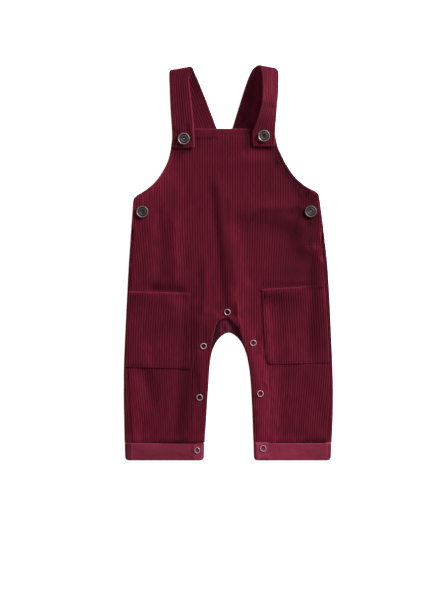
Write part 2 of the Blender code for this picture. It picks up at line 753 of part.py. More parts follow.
overalls = new_collection("toddler_overalls")
patterns = new_collection("cutters")
holder = bpy.data.objects.new("overalls_on_table", None)
overalls.objects.link(holder)

front_edge = front_outline()


def front_top(x, y):
    """Height of the front's cords."""
    return front_inside(x, y, front_edge) + WALL + WALE


def pocket_inside(x, y):
    """The pockets lie on the front, a seam gap above its cords."""
    return front_top(x, y) + SEAM_GAP


# The front, cut on the fold
front = corduroy_slab("front", FRONT_ROWS, lambda x, y: front_inside(x, y, front_edge), 3)
cut_to_outline(front, front_edge, patterns)
finish(front, CORDUROY, overalls, holder)

# The back and the facing inside its crotch
finish(make_back(), CORDUROY, overalls, holder)
finish(make_crotch_facing(), CORDUROY_INSIDE, overalls, holder)

# Patch pockets, their outer edges along the side seams
left_edge = [Vector((along(SIDE_EDGE, y, LEFT) + POCKET_LAP_EDGE, y)) for y in
             (POCKET_LEFT_FOOT, *reversed(POCKET_SEAM_ROWS), POCKET_LEFT_MOUTH)]
right_edge = [Vector((front_side(y, RIGHT) - POCKET_SEAM_GAP, y)) for y in
              (POCKET_RIGHT_MOUTH, *POCKET_SEAM_ROWS, POCKET_RIGHT_FOOT)]
for pocket_name, pocket_outline in (
        ("pocket_left", left_edge + [Vector(corner) for corner in POCKET_LEFT]),
        ("pocket_right", right_edge + [Vector(corner) for corner in reversed(POCKET_RIGHT)])):
    pocket = corduroy_slab(pocket_name, POCKET_ROWS, pocket_inside, 1)
    cut_to_outline(pocket, pocket_outline, patterns)
    finish(pocket, CORDUROY, overalls, holder)

# Straps, bent over at the shoulder and buttoned to the bib
left_stations = bent_over(STRAP_LEFT_BACK, STRAP_LEFT_BEND, STRAP_LEFT_FRONT)
finish(make_strap("strap_left", left_stations, STRAP_LEFT_APEX, STRAP_LEFT_CORNERS),
       CORDUROY, overalls, holder)
finish(make_strap("strap_right", STRAP_RIGHT, STRAP_RIGHT_APEX, STRAP_RIGHT_CORNERS),
       CORDUROY, overalls, holder)

# Turned-up hems, showing the cloth's inside
finish(make_cuff("cuff_left", CUFF_LEFT), CORDUROY_INSIDE, overalls, holder)
finish(make_cuff("cuff_right", CUFF_RIGHT), CORDUROY_INSIDE, overalls, holder)

# Buttons of the straps and of the side openings
strap_top = STRAP_LEFT_FRONT[-1][2] + STRAP_THICKNESS / 2
for button_name, button_x, button_y in BIB_BUTTONS:
    bib_button = make_button(button_name)
    seat(bib_button, button_x, button_y, BUTTON_DIAMETER / 2, lambda x, y: strap_top)
    finish(bib_button, GUNMETAL, overalls, holder)
for button_name, button_x, button_y in SIDE_BUTTONS:
    side_button = make_button(button_name)
    seat(side_button, button_x, button_y, BUTTON_DIAMETER / 4, front_top)
    finish(side_button, GUNMETAL, overalls, holder)

# Snap rings down the inseam and on the turn-ups
for snap_name, snap_x, snap_y in SNAPS:
    snap = make_snap(snap_name)
    seat(snap, snap_x, snap_y, SNAP_DIAMETER / 2, front_top)
    finish(snap, NICKEL, overalls, holder)
for snap_name, snap_x, snap_y in CUFF_SNAPS:
    snap = make_snap(snap_name)
    seat(snap, snap_x, snap_y, SNAP_DIAMETER / 2, lambda x, y: CUFF_HEIGHT)
    finish(snap, NICKEL, overalls, holder)
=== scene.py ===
"""A toddler's bib overalls in burgundy wide-wale corduroy, buttoned up and laid flat.

Lengths are in millimetres until a mesh is made. +X is to the right as one looks down at the front,
+Y runs up the garment towards the straps, +Z is up from the table. "left" and "right" are as seen
from above. The sections follow the garment as it is sewn and laid down, from the back upwards.
"""

import math

import bpy
import numpy as np
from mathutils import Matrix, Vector


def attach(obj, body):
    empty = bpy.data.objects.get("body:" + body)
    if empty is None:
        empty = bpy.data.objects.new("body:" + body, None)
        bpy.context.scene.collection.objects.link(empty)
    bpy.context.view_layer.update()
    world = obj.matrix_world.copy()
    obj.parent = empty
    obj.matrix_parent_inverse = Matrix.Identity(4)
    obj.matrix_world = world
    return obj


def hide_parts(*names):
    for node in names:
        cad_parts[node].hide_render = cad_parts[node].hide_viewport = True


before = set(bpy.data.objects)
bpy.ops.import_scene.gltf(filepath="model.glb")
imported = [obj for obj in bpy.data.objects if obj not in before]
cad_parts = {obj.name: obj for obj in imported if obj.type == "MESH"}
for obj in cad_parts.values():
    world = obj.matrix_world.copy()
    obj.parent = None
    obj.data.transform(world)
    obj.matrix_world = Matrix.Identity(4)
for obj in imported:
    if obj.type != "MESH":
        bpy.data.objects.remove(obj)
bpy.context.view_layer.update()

# ------------------------------------------------------------------------------------- The back
# The back and both its legs are one piece of cotton corduroy with about eight cords to the inch.
# It lies face down, its cords pressed flat, goes round the fold at each side with its cords
# outwards, and is sewn to the front in a plain seam a few millimetres in from that fold.
MM = 0.001
# The two sides, which are also the columns of every table that holds both
LEFT = 1
RIGHT = 2
# The front's wall and its cords' height above that, the back's wall, and the gap between layers
WALL = 1.2
WALE = 0.6
BACK_WALL = 1.3
SEAM_GAP = 0.3
# How round a cord's section is, how deep the back's grooves are, and where round the fold they start
CORD_ROUNDNESS = 0.6
BACK_GROOVE = 0.45
GROOVE_FROM = 0.25
# Distance from cord to cord: height, pitch
WALE_PITCH = (
    (183, 3.44), (58, 3.44), (28, 3.38), (-13, 3.28), (-112, 3.28), (-174, 3.17), (-215, 3.06), (-268, 3),
)
# Its top edge, and where its armholes end
BACK_TOP = 152.0
ARMHOLE_FOOT = 85.0
# The side openings end here, and the seams below them have gone round the fold by the second height
OPENING_END = 44.0
SEAM_START = 24.0
# How far the back lies in under the front at the openings, and over what run that starts
UNDERLAP = 3.0
UNDERLAP_RUN = 8.0
# Over what run the seams start, and the least angle that a fold goes round
SEAM_RUN = 3.0
LEAST_WRAP = 0.01
# The top and the middle of the crotch, and where the legs end inside the turn-ups
CROTCH_TOP = -95.6
CROTCH_X = 0.3
LEG_END = -260.0
# The legs climb onto the turn-ups' lower band, and their edges draw in to go inside the turn-ups
HEM_RISE = 1.8
HEM_RISE_FROM = -232.0
HEM_RISE_TO = -244.0
HEM_LIFT = 3.2
# Height of the front's inside at its edges, thicker where the seams are: height, lift
EDGE_LIFT = (
    (HEM_RISE_FROM, HEM_LIFT), (-200, 4.2), (OPENING_END, 4.2), (92, 3.8),
)
TUCK_FROM = -245.5
TUCK_TO = -246.0
LEG_TUCK = 2.8
INSEAM_TUCK = 4.6
# The folds at the sides: height, left x, right x
SIDE_EDGE = (
    (92, -127.7, 123.4), (84, -130.3, 124.9), (66, -131.5, 127.3), (45, -133.2, 130), (0, -136.4, 135),
    (-47, -138.9, 138), (-101, -141.5, 140.6), (-150, -143.2, 142.6), (-190, -143.2, 143),
    (-230, -142.5, 141.9), (-250, -141.8, 140.5), (-268, -140.9, 139.6),
)
# How far in from the folds the side seams lie: height, at the left, at the right
SIDE_SEAM = (
    (45, 3.4, 4), (-30, 3.4, 4.9), (-75, 3.4, 3.9), (-141, 5.2, 3.4), (-245, 10.9, 5.2),
    (-268, 10.9, 5.2),
)
# Inner edge of the legs: square root of the depth below the crotch's top, left x, right x
INSEAM = (
    (0, 0.3, 0.3), (1, -4.2, 4.5), (1.8, -8, 8.3), (2.6, -11.9, 12.5), (3.4, -15.7, 16.4),
    (4.25, -19.4, 20.1), (4.95, -21.9, 22.7), (5.65, -23.7, 25.1), (6.4, -25.2, 26.9), (7.2, -26.2, 28.7),
    (8.35, -27.3, 30.4), (9.6, -28.8, 31.7), (10.95, -30.5, 32.9), (12.15, -32.4, 33.9),
    (13.2, -33.6, 35),
)
# The back's armholes: height, left x, right x
BACK_ARMHOLE = (
    (BACK_TOP, -38, 28), (135, -46, 36), (118, -62, 52), (103, -85, 76), (95, -106, 98), (90, -120, 113),
    (85, -127, 121.6),
)
# Painted strokes of light and shade, the strip round the right fold painted dark for its shade:
# half width, shade, then x, y of each point
BACK_SHADES = (
    (4.2, -0.64, 131, 24, 135.2, 0, 138.6, -47, 140.8, -90), (3.6, -0.62, 140.8, -90, 141.6, -126),
    (3, -0.2, 141.6, -126, 142, -146), (3, 0.4, -131, 42, -133.4, 30),
)
# The darkest and the lightest that painted strokes may add up to
SHADING_RANGE = (-0.64, 0.9)
# Columns of points on each half's flat part and round its fold, and the distance of its rows
FLAT_COLUMNS = 12
WRAP_COLUMNS = 44
BACK_STEP = 2.4
# Rows that stand closer together under the crotch, and where the even ones go on below them
CROTCH_ROWS = (-95.7, -96.0, -96.5, -97.3, -98.5, -100.1)
LEG_ROWS_FROM = -102.4
FOOT_ROWS_FROM = -248.4
# How near each other the halves' points are joined, and from what angle an edge of cloth is sharp
WELD_WITHIN = 0.02
SMOOTH_ANGLE = math.radians(50)


def along(table, heights, column):
    """Smooth values of a table's column at the given heights. Its first column is the height."""
    rows = np.array(sorted(table))
    knots = rows[:, 0]
    values = rows[:, column]
    slopes = np.empty(len(knots))
    slopes[1:-1] = (values[2:] - values[:-2]) / (knots[2:] - knots[:-2])
    slopes[0] = (values[1] - values[0]) / (knots[1] - knots[0])
    slopes[-1] = (values[-1] - values[-2]) / (knots[-1] - knots[-2])
    height = np.clip(heights, knots[0], knots[-1])
    low = np.clip(np.searchsorted(knots, height, side="right") - 1, 0, len(knots) - 2)
    span = knots[low + 1] - knots[low]
    t = (height - knots[low]) / span
    start = values[low] * (2 * t ** 3 - 3 * t ** 2 + 1)
    end = values[low + 1] * (3 * t ** 2 - 2 * t ** 3)
    bow = slopes[low] * (t ** 3 - 2 * t ** 2 + t) + slopes[low + 1] * (t ** 3 - t ** 2)
    return start + end + span * bow


def ease(value):
    """0 to 1 with a smooth start and end."""
    value = np.clip(value, 0.0, 1.0)
    return value * value * (3 - 2 * value)


def cord_height(wale):
    """Height of the pile across the cords: 1 on a cord's crown, 0 in the groove beside it."""
    return np.abs(np.cos(np.pi * wale)) ** CORD_ROUNDNESS


def hem_rise(y):
    """How far the legs have climbed onto the lower band of the turn-ups."""
    return HEM_RISE * ease((HEM_RISE_FROM - y) / (HEM_RISE_FROM - HEM_RISE_TO))


def inseam(y, side):
    """x of a leg's inner edge: a round arch at the crotch, then nearly straight down."""
    return along(INSEAM, np.sqrt(np.maximum(CROTCH_TOP - y, 0.0)), side)


def tuck(y, depth):
    """How far a leg's edge draws in to go inside the turn-up."""
    return depth * ease((TUCK_FROM - y) / (TUCK_FROM - TUCK_TO))


def grid_faces(rows, columns, first=0):
    """Faces of a grid of points that are listed row by row."""
    corner = first + np.arange(rows - 1)[:, None] * columns + np.arange(columns - 1)
    faces = np.stack((corner, corner + 1, corner + columns + 1, corner + columns), axis=-1)
    return faces.reshape(-1, 4).tolist()


def new_piece(name, points, faces, **values):
    """A smooth mesh object from points in millimetres, with named values on its points."""
    mesh = bpy.data.meshes.new(name)
    mesh.from_pydata((np.asarray(points).reshape(-1, 3) * MM).tolist(), [], faces)
    mesh.validate()
    piece = bpy.data.objects.new(name, mesh)
    bpy.context.scene.collection.objects.link(piece)
    for key, value in values.items():
        set_value(piece, key, value)
    mesh.shade_smooth()
    return piece


def set_value(piece, key, value):
    """Keep one number for each point of a piece, for its material."""
    layer = piece.data.attributes.new(key, "FLOAT", "POINT")
    layer.data.foreach_set("value", np.asarray(value, dtype=np.float32).ravel())


def path_distance(x, y, path):
    """Distance of points from the nearest stretch of a path."""
    nearest = np.full(np.shape(x), np.inf)
    for a, b in zip(path, path[1:]):
        run_x, run_y = b[0] - a[0], b[1] - a[1]
        length = max(run_x * run_x + run_y * run_y, 1e-9)
        t = np.clip(((x - a[0]) * run_x + (y - a[1]) * run_y) / length, 0.0, 1.0)
        nearest = np.minimum(nearest, np.hypot(x - a[0] - t * run_x, y - a[1] - t * run_y))
    return nearest


def strokes_at(x, y, strokes):
    """What soft strokes add up to at x, y. Each has its half width, its strength and its path."""
    return sum(strength * np.exp(-(path_distance(x, y, np.reshape(path, (-1, 2))) / half_width) ** 2)
               for half_width, strength, *path in strokes)


def spots_of(piece):
    """The points of a piece, in millimetres."""
    flat = np.empty(len(piece.data.vertices) * 3, dtype=np.float32)
    piece.data.vertices.foreach_get("co", flat)
    return flat.reshape(-1, 3).astype(float) / MM


def paint_light_and_shade(piece, strokes):
    """Paint light and shade into a piece's colour along soft strokes."""
    x, y, z = spots_of(piece).T
    set_value(piece, "nap", np.clip(strokes_at(x, y, strokes), *SHADING_RANGE))


def back_section(y, side):
    """Points x, z and cord numbers of the back's outer surface, from the middle to its side seam."""
    inward = 1 if side == LEFT else -1
    radius = (float(along(EDGE_LIFT, y, 1)) + WALL + WALE) / 2
    wrap = max(math.pi * float(ease((OPENING_END - y) / (OPENING_END - SEAM_START))), LEAST_WRAP)
    flap = float(along(SIDE_SEAM, y, side)) - radius
    arc = math.pi * radius
    bend = arc / wrap
    if y >= ARMHOLE_FOOT:
        edge = float(along(BACK_ARMHOLE, y, side))
        reach = arc + flap
    else:
        under = UNDERLAP * float(ease((y - OPENING_END - SEAM_RUN) / UNDERLAP_RUN))
        edge = float(along(SIDE_EDGE, y, side)) + inward * (under + float(tuck(y, LEG_TUCK)))
        round_fold = math.sin(wrap) if wrap < math.pi / 2 else 1.0
        reach = bend * round_fold + flap * max(math.cos(wrap), 0.0)
    start = edge + inward * reach
    inner = CROTCH_X
    if y < CROTCH_TOP:
        inner = float(inseam(y, side)) - inward * float(tuck(y, INSEAM_TUCK))
    flat_x = inner + (start - inner) * np.arange(FLAT_COLUMNS) / FLAT_COLUMNS
    run = (arc + flap) * np.arange(WRAP_COLUMNS + 1) / WRAP_COLUMNS
    angle = wrap * np.minimum(run / arc, 1.0)
    past = np.maximum(run - arc, 0.0)
    x = start - inward * (bend * np.sin(angle) + past * math.cos(wrap))
    z = bend * (1 - np.cos(angle)) + past * math.sin(wrap)
    pitch = float(along(WALE_PITCH, y, 1))
    wale = (arc + flap - run) / pitch
    starting = ease((run / arc - GROOVE_FROM) / GROOVE_FROM) * ease(wrap)
    groove = BACK_GROOVE * (1 - cord_height(wale)) * starting
    x = x + inward * groove * np.sin(angle)
    z = z + groove * np.cos(angle)
    flat_wale = wale[0] + np.abs(flat_x - start) / pitch
    xs = np.concatenate((flat_x, x))
    zs = np.concatenate((np.zeros(FLAT_COLUMNS), z)) + float(hem_rise(y))
    return xs, zs, np.concatenate((flat_wale, wale))


back_heights = [BACK_TOP, *np.arange(BACK_TOP - 2.0, CROTCH_TOP, -BACK_STEP), CROTCH_TOP, *CROTCH_ROWS,
                *np.arange(LEG_ROWS_FROM, TUCK_FROM, -BACK_STEP), TUCK_FROM, TUCK_TO,
                *np.arange(FOOT_ROWS_FROM, LEG_END, -BACK_STEP), LEG_END]
back_points = []
back_faces = []
back_wales = []
for side in (LEFT, RIGHT):
    sections = [back_section(y, side) for y in back_heights]
    rows = len(back_heights)
    columns = FLAT_COLUMNS + WRAP_COLUMNS + 1
    heights = np.repeat(back_heights, columns)
    xs = np.concatenate([section[0] for section in sections])
    zs = np.concatenate([section[1] for section in sections])
    half = grid_faces(rows, columns, len(back_wales) * rows * columns)
    back_faces += [face[::-1] for face in half] if side == LEFT else half
    back_points.append(np.stack((xs, heights, zs), axis=-1))
    back_wales.append(np.concatenate([section[2] for section in sections]))
back = new_piece("back_cloth", np.concatenate(back_points), back_faces,
                 wale=np.concatenate(back_wales), rim=np.zeros(2 * rows * columns))
paint_light_and_shade(back, BACK_SHADES)
weld = back.modifiers.new("sewn at the middle", "WELD")
weld.merge_threshold = WELD_WITHIN * MM
wall = back.modifiers.new("cloth", "SOLIDIFY")
wall.thickness = BACK_WALL * MM
wall.offset = -1.0


class Wire:
    """A value or colour on its way through a material, with arithmetic written as a formula."""

    def __init__(self, finish, socket):
        self.finish = finish
        self.socket = socket

    def math(self, operation, first, second=0.0):
        return self.finish.node("ShaderNodeMath", {"operation": operation}, {0: first, 1: second})

    def __add__(self, other):
        return self.math("ADD", self, other)

    def __radd__(self, other):
        return self.math("ADD", other, self)

    def __sub__(self, other):
        return self.math("SUBTRACT", self, other)

    def __rsub__(self, other):
        return self.math("SUBTRACT", other, self)

    def __mul__(self, other):
        return self.math("MULTIPLY", self, other)

    def __rmul__(self, other):
        return self.math("MULTIPLY", other, self)

    def __pow__(self, other):
        return self.math("POWER", self, other)

    def __abs__(self):
        return self.math("ABSOLUTE", self)

    def floor(self):
        return self.math("FLOOR", self)

    def clip(self):
        return self.math("MINIMUM", self.math("MAXIMUM", self, 0.0), 1.0)


class Finish:
    """A material, named for the finish it gives."""

    def __init__(self, name):
        self.material = bpy.data.materials.new(name)
        self.material.use_nodes = True
        self.nodes = self.material.node_tree.nodes
        self.nodes.clear()

    def node(self, kind, settings=None, sockets=None, output=0):
        """Add a node: its settings first, then the values or links of its sockets."""
        made = self.nodes.new(kind)
        for key, value in (settings or {}).items():
            setattr(made, key, value)
        for key, value in (sockets or {}).items():
            if isinstance(value, Wire):
                self.material.node_tree.links.new(value.socket, made.inputs[key])
            elif isinstance(value, tuple):
                made.inputs[key].default_value = value[:len(made.inputs[key].default_value)]
            else:
                made.inputs[key].default_value = value
        return Wire(self, made.outputs[output])

    def value(self, key):
        """A number kept on the piece's points."""
        return self.node("ShaderNodeAttribute", {"attribute_name": key}, output="Fac")

    def place(self, scale):
        """The point of the piece, in metres, stretched by a scale along each axis."""
        spot = self.node("ShaderNodeTexCoord", output="Object")
        return self.node("ShaderNodeVectorMath", {"operation": "MULTIPLY"}, {0: spot, 1: scale})

    def noise(self, at, detail=2.0, roughness=0.5):
        """Cloudy variation about 0, mostly within -0.5 and 0.5."""
        cloud = self.node("ShaderNodeTexNoise", None,
                          {"Vector": at, "Scale": 1.0, "Detail": detail, "Roughness": roughness})
        return (cloud - 0.5) * 2.0

    def mix(self, factor, first, second):
        """A colour between two colours."""
        sockets = {0: factor, 6: first, 7: second}
        return self.node("ShaderNodeMix", {"data_type": "RGBA"}, sockets, 2)

    def scaled(self, colour, factor):
        """A colour made lighter or darker."""
        sockets = {0: colour, "Scale": factor}
        return self.node("ShaderNodeVectorMath", {"operation": "SCALE"}, sockets)

    def bump(self, height, distance, strength=1.0):
        """A surface direction from a height, where 1 stands this far proud, in metres."""
        return self.node("ShaderNodeBump", None,
                         {"Height": height, "Distance": distance, "Strength": strength})

    def surface(self, **sockets):
        """Close the material with a surface of these qualities."""
        named = {key.replace("_", " "): value for key, value in sockets.items()}
        shader = self.node("ShaderNodeBsdfPrincipled", None, named)
        output = self.nodes.new("ShaderNodeOutputMaterial")
        self.material.node_tree.links.new(shader.socket, output.inputs["Surface"])
        return self.material


# The pile's colours: on a cord, in a groove (its bare weave, and painted shade between the cords),
# at an edge (worn, and painted lighter as it catches the light), and the bloom over all of it
PILE = (0.104, 0.0072, 0.0190, 1.0)
PILE_GROOVE = (0.050, 0.0032, 0.0086, 1.0)
PILE_WORN_LIT_EDGE = (0.20, 0.027, 0.056, 1.0)
PILE_SHEEN = (0.80, 0.14, 0.26, 1.0)
# How fine to the metre its unevenness is: streaks up each cord, with a jump from cord to cord, and
# clouds, patches and fibres in x, y and z
STREAK_JUMP = 3.7
STREAKS = 55.0
CLOUDS = (28.0, 14.0, 28.0)
PATCHES = (120.0, 34.0, 120.0)
FIBRES = (2400.0, 700.0, 2400.0)
# How much each of them lightens or darkens the pile
STREAK_SHADE = 0.34
CLOUD_SHADE = 0.20
PATCH_SHADE = 0.24
FIBRE_SHADE = 0.20
# How wide a cord's lit crown is, how fast it darkens beside that, and how lit pressed cords are
CROWN_WIDTH = 1.7
CROWN_FALL = 1.3
PRESSED_LIT = 0.72
# How much painted shade evens out the cords, how far the streaks go with the painted light and shade,
# how dark that shade must be to hide an edge's worn and lit colour and over what run, and the relief in
# metres
DARK_SHADE_FLATTER = 0.7
SHADE_STREAKS = 0.9
EDGE_HIDDEN_BELOW = 0.55
EDGE_HIDDEN_RUN = 0.2
PILE_RELIEF = 0.0003


def crown_and_number(cloth):
    """1 on a cord's crown and 0 in the groove beside it, and the number of the cord."""
    wale = cloth.value("wale") + 0.5
    number = wale.floor()
    return 1.0 - abs((wale - number) * 2.0 - 1.0), number


def corduroy(name, rim_share):
    """Cotton corduroy: soft pile cords, bare grooves, brushed unevenly along them, with painted light."""
    cloth = Finish(name)
    crown, number = crown_and_number(cloth)
    height = cloth.node("ShaderNodeSeparateXYZ", None, {0: cloth.place((1.0, 1.0, 1.0))}, "Y")
    along_cord = {0: number * STREAK_JUMP, 1: height * STREAKS, 2: 0.0}
    streaks = cloth.noise(cloth.node("ShaderNodeCombineXYZ", None, along_cord), 3.0, 0.6)
    clouds = cloth.noise(cloth.place(CLOUDS), 3.0)
    patches = cloth.noise(cloth.place(PATCHES), 3.0, 0.6)
    fibres = cloth.noise(cloth.place(FIBRES), 2.0, 0.7)
    # The strokes' painted light and shade: shaded slopes, cast shadows and lit edges, scaling the colour
    nap = cloth.value("nap")
    flat = (cloth.value("pressed") + (0.0 - nap).clip() * DARK_SHADE_FLATTER).clip()
    lit = (crown * CROWN_WIDTH).clip() ** CROWN_FALL
    lit = lit + flat * (PRESSED_LIT - lit)
    uneven = (1.0 + streaks * STREAK_SHADE + clouds * CLOUD_SHADE + patches * PATCH_SHADE
              + fibres * FIBRE_SHADE)
    shade = uneven * (1.0 + nap * (1.0 + streaks * SHADE_STREAKS))
    colour = cloth.scaled(cloth.mix(lit, PILE_GROOVE, PILE), shade)
    # An edge's worn and painted-lit colour fades away where the painted shade is deep
    caught = ((nap + EDGE_HIDDEN_BELOW) * (1.0 / EDGE_HIDDEN_RUN)).clip()
    colour = cloth.mix(cloth.value("rim") * caught * rim_share, colour, PILE_WORN_LIT_EDGE)
    relief = fibres * 0.6 + crown * 0.5 + streaks * 0.3
    return cloth.surface(Base_Color=colour, Roughness=0.92, Normal=cloth.bump(relief, PILE_RELIEF, 0.6),
                         Sheen_Weight=0.30, Sheen_Roughness=0.45, Sheen_Tint=PILE_SHEEN,
                         Specular_IOR_Level=0.05)


outside_cloth = corduroy("burgundy_corduroy", 0.25)
back.data.materials.append(outside_cloth)
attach(back, "root")
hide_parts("back")

# --------------------------------------------------------------------- The facing of the crotch
# A shaped facing is sewn inside the back's crotch and inner leg edges to carry the snaps. Its
# smooth side shows in the crescent where the front is cut higher, with the end of the corduroy
# placket strip in the middle of it.
# Its height above the table, its wall, and how far it stands back from the back's edge
FACING_LOW = 1.8
FACING_WALL = 0.85
FACING_LAP = 0.8
# The facing's outer edge, from the right leg over the crotch to the left one: x, y
FACING_OUTER = (
    (45, -127.2), (41, -100), (29, -78), (CROTCH_X, -67), (-28, -78), (-40, -100), (-44, -127.2),
)
# The placket strip's end: its two edges in x, how wide they fade, its lift, its cords above that
TAB = (-11.5, 3.6)
TAB_EDGE = 0.8
TAB_LIFT = 0.12
TAB_CORDS = 0.13
# Its grid of points: top, foot, distance of rows, cords each side, columns on a cord
FACING_TOP = -65.0
FACING_FOOT = -130.0
FACING_STEP = 1.5
FACING_CORDS = 17
FACING_COLUMNS = (-0.3, 0.0, 0.3, 0.5)
# Heights of the points along its inner edges
FACING_ROWS = (-128.0, -118.0, -108.0, -101.8, -98.4, -96.6, -95.9)
# Colours of the inside, painted dark for the deep shade it lies in, and of the strip's grooves and cords
FACING_PAINTED_DARK = (0.042, 0.0056, 0.0104, 1.0)
TAB_GROOVE = (0.042, 0.0034, 0.009, 1.0)
TAB_PILE = (0.092, 0.0090, 0.022, 1.0)
# Painted strokes of light and shade on it, as on the back
FACING_SHADES = (
    (4, -0.4, -23, -112, -17.5, -90, -12.5, -82), (2, 0.5, -10.6, -83, -10.8, -92.5),
    (2.8, 0.6, -2.5, -81, 0.5, -86, 1.5, -92), (1.4, -0.7, -5.2, -88.5, -4.2, -91.5),
    (5, 0.9, 7, -86, 13, -97, 18, -108), (3, 0.45, -8, -79, 0, -80),
)
# How wide the cut edges round over, and how much of the wall goes there, outside and inside
ROLL = 1.5
EDGE_THIN = 0.45
EDGE_LIFTED = 0.12
# A wall's inside has one column of points for so many of its outside's
INSIDE_COLUMNS = 4
# The pattern that cuts it reaches from below to above all of the cloth
PATTERN_FOOT = -5.0
PATTERN_HEAD = 40.0


def curve_through(points, steps):
    """Points of a smooth curve through the given x, y points."""
    spots = np.array(points)
    spots = np.concatenate((spots[:1], spots, spots[-1:]))
    t = (np.arange(steps) / steps)[:, None]
    result = []
    for p0, p1, p2, p3 in zip(spots, spots[1:], spots[2:], spots[3:]):
        result.append(0.5 * (2 * p1 + (p2 - p0) * t + (2 * p0 - 5 * p1 + 4 * p2 - p3) * t ** 2
                             + (3 * p1 - 3 * p2 + p3 - p0) * t ** 3))
    result.append(spots[-1:])
    return np.concatenate(result)


def wale_number(x, y, lean=0.0, lean_from=0.0):
    """Which cord a point is on. The cords may lean: x moves by this much for each unit up."""
    return (x - lean * (y - lean_from)) / along(WALE_PITCH, y, 1)


def uncut_wall(name, heights, inside, top, columns, lean, lean_from):
    """A closed wall of cloth between two surfaces, still wider than its pattern."""
    rows = np.array(sorted(heights, reverse=True))[:, None]
    pitch = along(WALE_PITCH, rows, 1)
    shift = lean * (rows - lean_from)
    upper_x = np.array(columns)[None, :] * pitch + shift
    lower_x = np.array(columns[::INSIDE_COLUMNS])[None, :] * pitch + shift
    if len(columns) % INSIDE_COLUMNS != 1:
        lower_x = np.concatenate((lower_x, upper_x[:, -1:]), axis=1)
    upper = np.stack((upper_x, rows + 0 * upper_x, top(upper_x, rows + 0 * upper_x)), axis=-1)
    lower = np.stack((lower_x, rows + 0 * lower_x, inside(lower_x, rows + 0 * lower_x)), axis=-1)
    count, wide, narrow = len(rows), upper_x.shape[1], lower_x.shape[1]
    first = count * wide
    faces = [face[::-1] for face in grid_faces(count, wide)] + grid_faces(count, narrow, first)
    for i in range(count - 1):
        a, b = i * wide, first + i * narrow
        faces.append([a + wide, a, b, b + narrow])
        faces.append([a + wide - 1, a + 2 * wide - 1, b + 2 * narrow - 1, b + narrow - 1])
    faces.append(list(range(0, wide)) + list(range(first + narrow - 1, first - 1, -1)))
    end, low_end = (count - 1) * wide, first + (count - 1) * narrow
    faces.append(list(range(end + wide - 1, end - 1, -1)) + list(range(low_end, low_end + narrow)))
    return new_piece(name, np.concatenate((upper.reshape(-1, 3), lower.reshape(-1, 3))), faces)


def cut_out(piece, outline):
    """Cut a piece to an outline, straight down."""
    corners = len(outline)
    pattern = np.concatenate((np.column_stack((outline, np.full(corners, PATTERN_FOOT))),
                              np.column_stack((outline, np.full(corners, PATTERN_HEAD)))))
    walls = [[i, (i + 1) % corners, corners + (i + 1) % corners, corners + i] for i in range(corners)]
    walls += [list(range(corners))[::-1], list(range(corners, 2 * corners))]
    cutter = new_piece(piece.name + "_pattern", pattern, walls)
    cut = piece.modifiers.new("cut", "BOOLEAN")
    cut.operation = "INTERSECT"
    cut.solver = "MANIFOLD"
    cut.object = cutter
    evaluated = piece.evaluated_get(bpy.context.evaluated_depsgraph_get())
    shape = bpy.data.meshes.new_from_object(evaluated)
    shape.materials.clear()
    piece.modifiers.clear()
    piece.data = shape
    bpy.data.objects.remove(cutter)


def cut_panel(name, outline, heights, inside, top, columns, lean=0.0, lean_from=0.0,
              thin=(ROLL, EDGE_THIN)):
    """A wall of cloth between two surfaces, cut to its outline, with rounded cut edges.

    The columns are cord numbers, and the surfaces are heights worked out from x and y. Near its
    edges the wall thins out, over the given distance and by the given share.
    """
    outline = np.array(outline)
    piece = uncut_wall(name, heights, inside, top, columns, lean, lean_from)
    cut_out(piece, outline)
    points = spots_of(piece)
    x, y, z = points.T
    edge = path_distance(x, y, np.concatenate((outline, outline[:1])))
    near = np.clip(1 - edge / thin[0], 0.0, 1.0) ** 2
    floor, ceiling = inside(x, y), top(x, y)
    outer = z > (floor + ceiling) / 2
    points[:, 2] += np.where(outer, -thin[1], EDGE_LIFTED) * near * (ceiling - floor)
    move_spots(piece, points)
    set_value(piece, "wale", wale_number(x, y, lean, lean_from))
    # The cut edges are marked for a colour that is worn and painted lighter, as they catch the light
    set_value(piece, "rim", np.clip(1 - edge / ROLL, 0.0, 1.0) * outer)
    piece.data.shade_smooth()
    piece.data.set_sharp_from_angle(angle=SMOOTH_ANGLE)
    return piece


def move_spots(piece, points):
    """Put a piece's points in new places, in millimetres."""
    piece.data.vertices.foreach_set("co", (points * MM).astype(np.float32).ravel())
    piece.data.update()


def on_strip(x):
    """1 on the placket strip's end, 0 beside it."""
    return ease((x - TAB[0]) / TAB_EDGE) * ease((TAB[1] - x) / TAB_EDGE)


def facing_top(x, y):
    """The facing is flat, but for the placket strip's end with its cords."""
    plain = FACING_LOW + FACING_WALL - (TAB_LIFT + TAB_CORDS)
    return plain + on_strip(x) * (TAB_LIFT + TAB_CORDS * cord_height(wale_number(x, y)))


facing_outline = [(float(inseam(y, LEFT)) - FACING_LAP, y + FACING_LAP) for y in FACING_ROWS]
facing_outline.append((CROTCH_X, CROTCH_TOP + 1.0))
facing_outline += [(float(inseam(y, RIGHT)) + FACING_LAP, y + FACING_LAP) for y in reversed(FACING_ROWS)]
facing_outline += curve_through(FACING_OUTER, 3).tolist()
facing_columns = [k + part for k in range(-FACING_CORDS, FACING_CORDS) for part in FACING_COLUMNS]
facing_rows = np.arange(FACING_TOP, FACING_FOOT, -FACING_STEP)
facing = cut_panel("crotch_facing_cloth", facing_outline, facing_rows,
                   lambda x, y: FACING_LOW + 0 * x, facing_top, facing_columns)


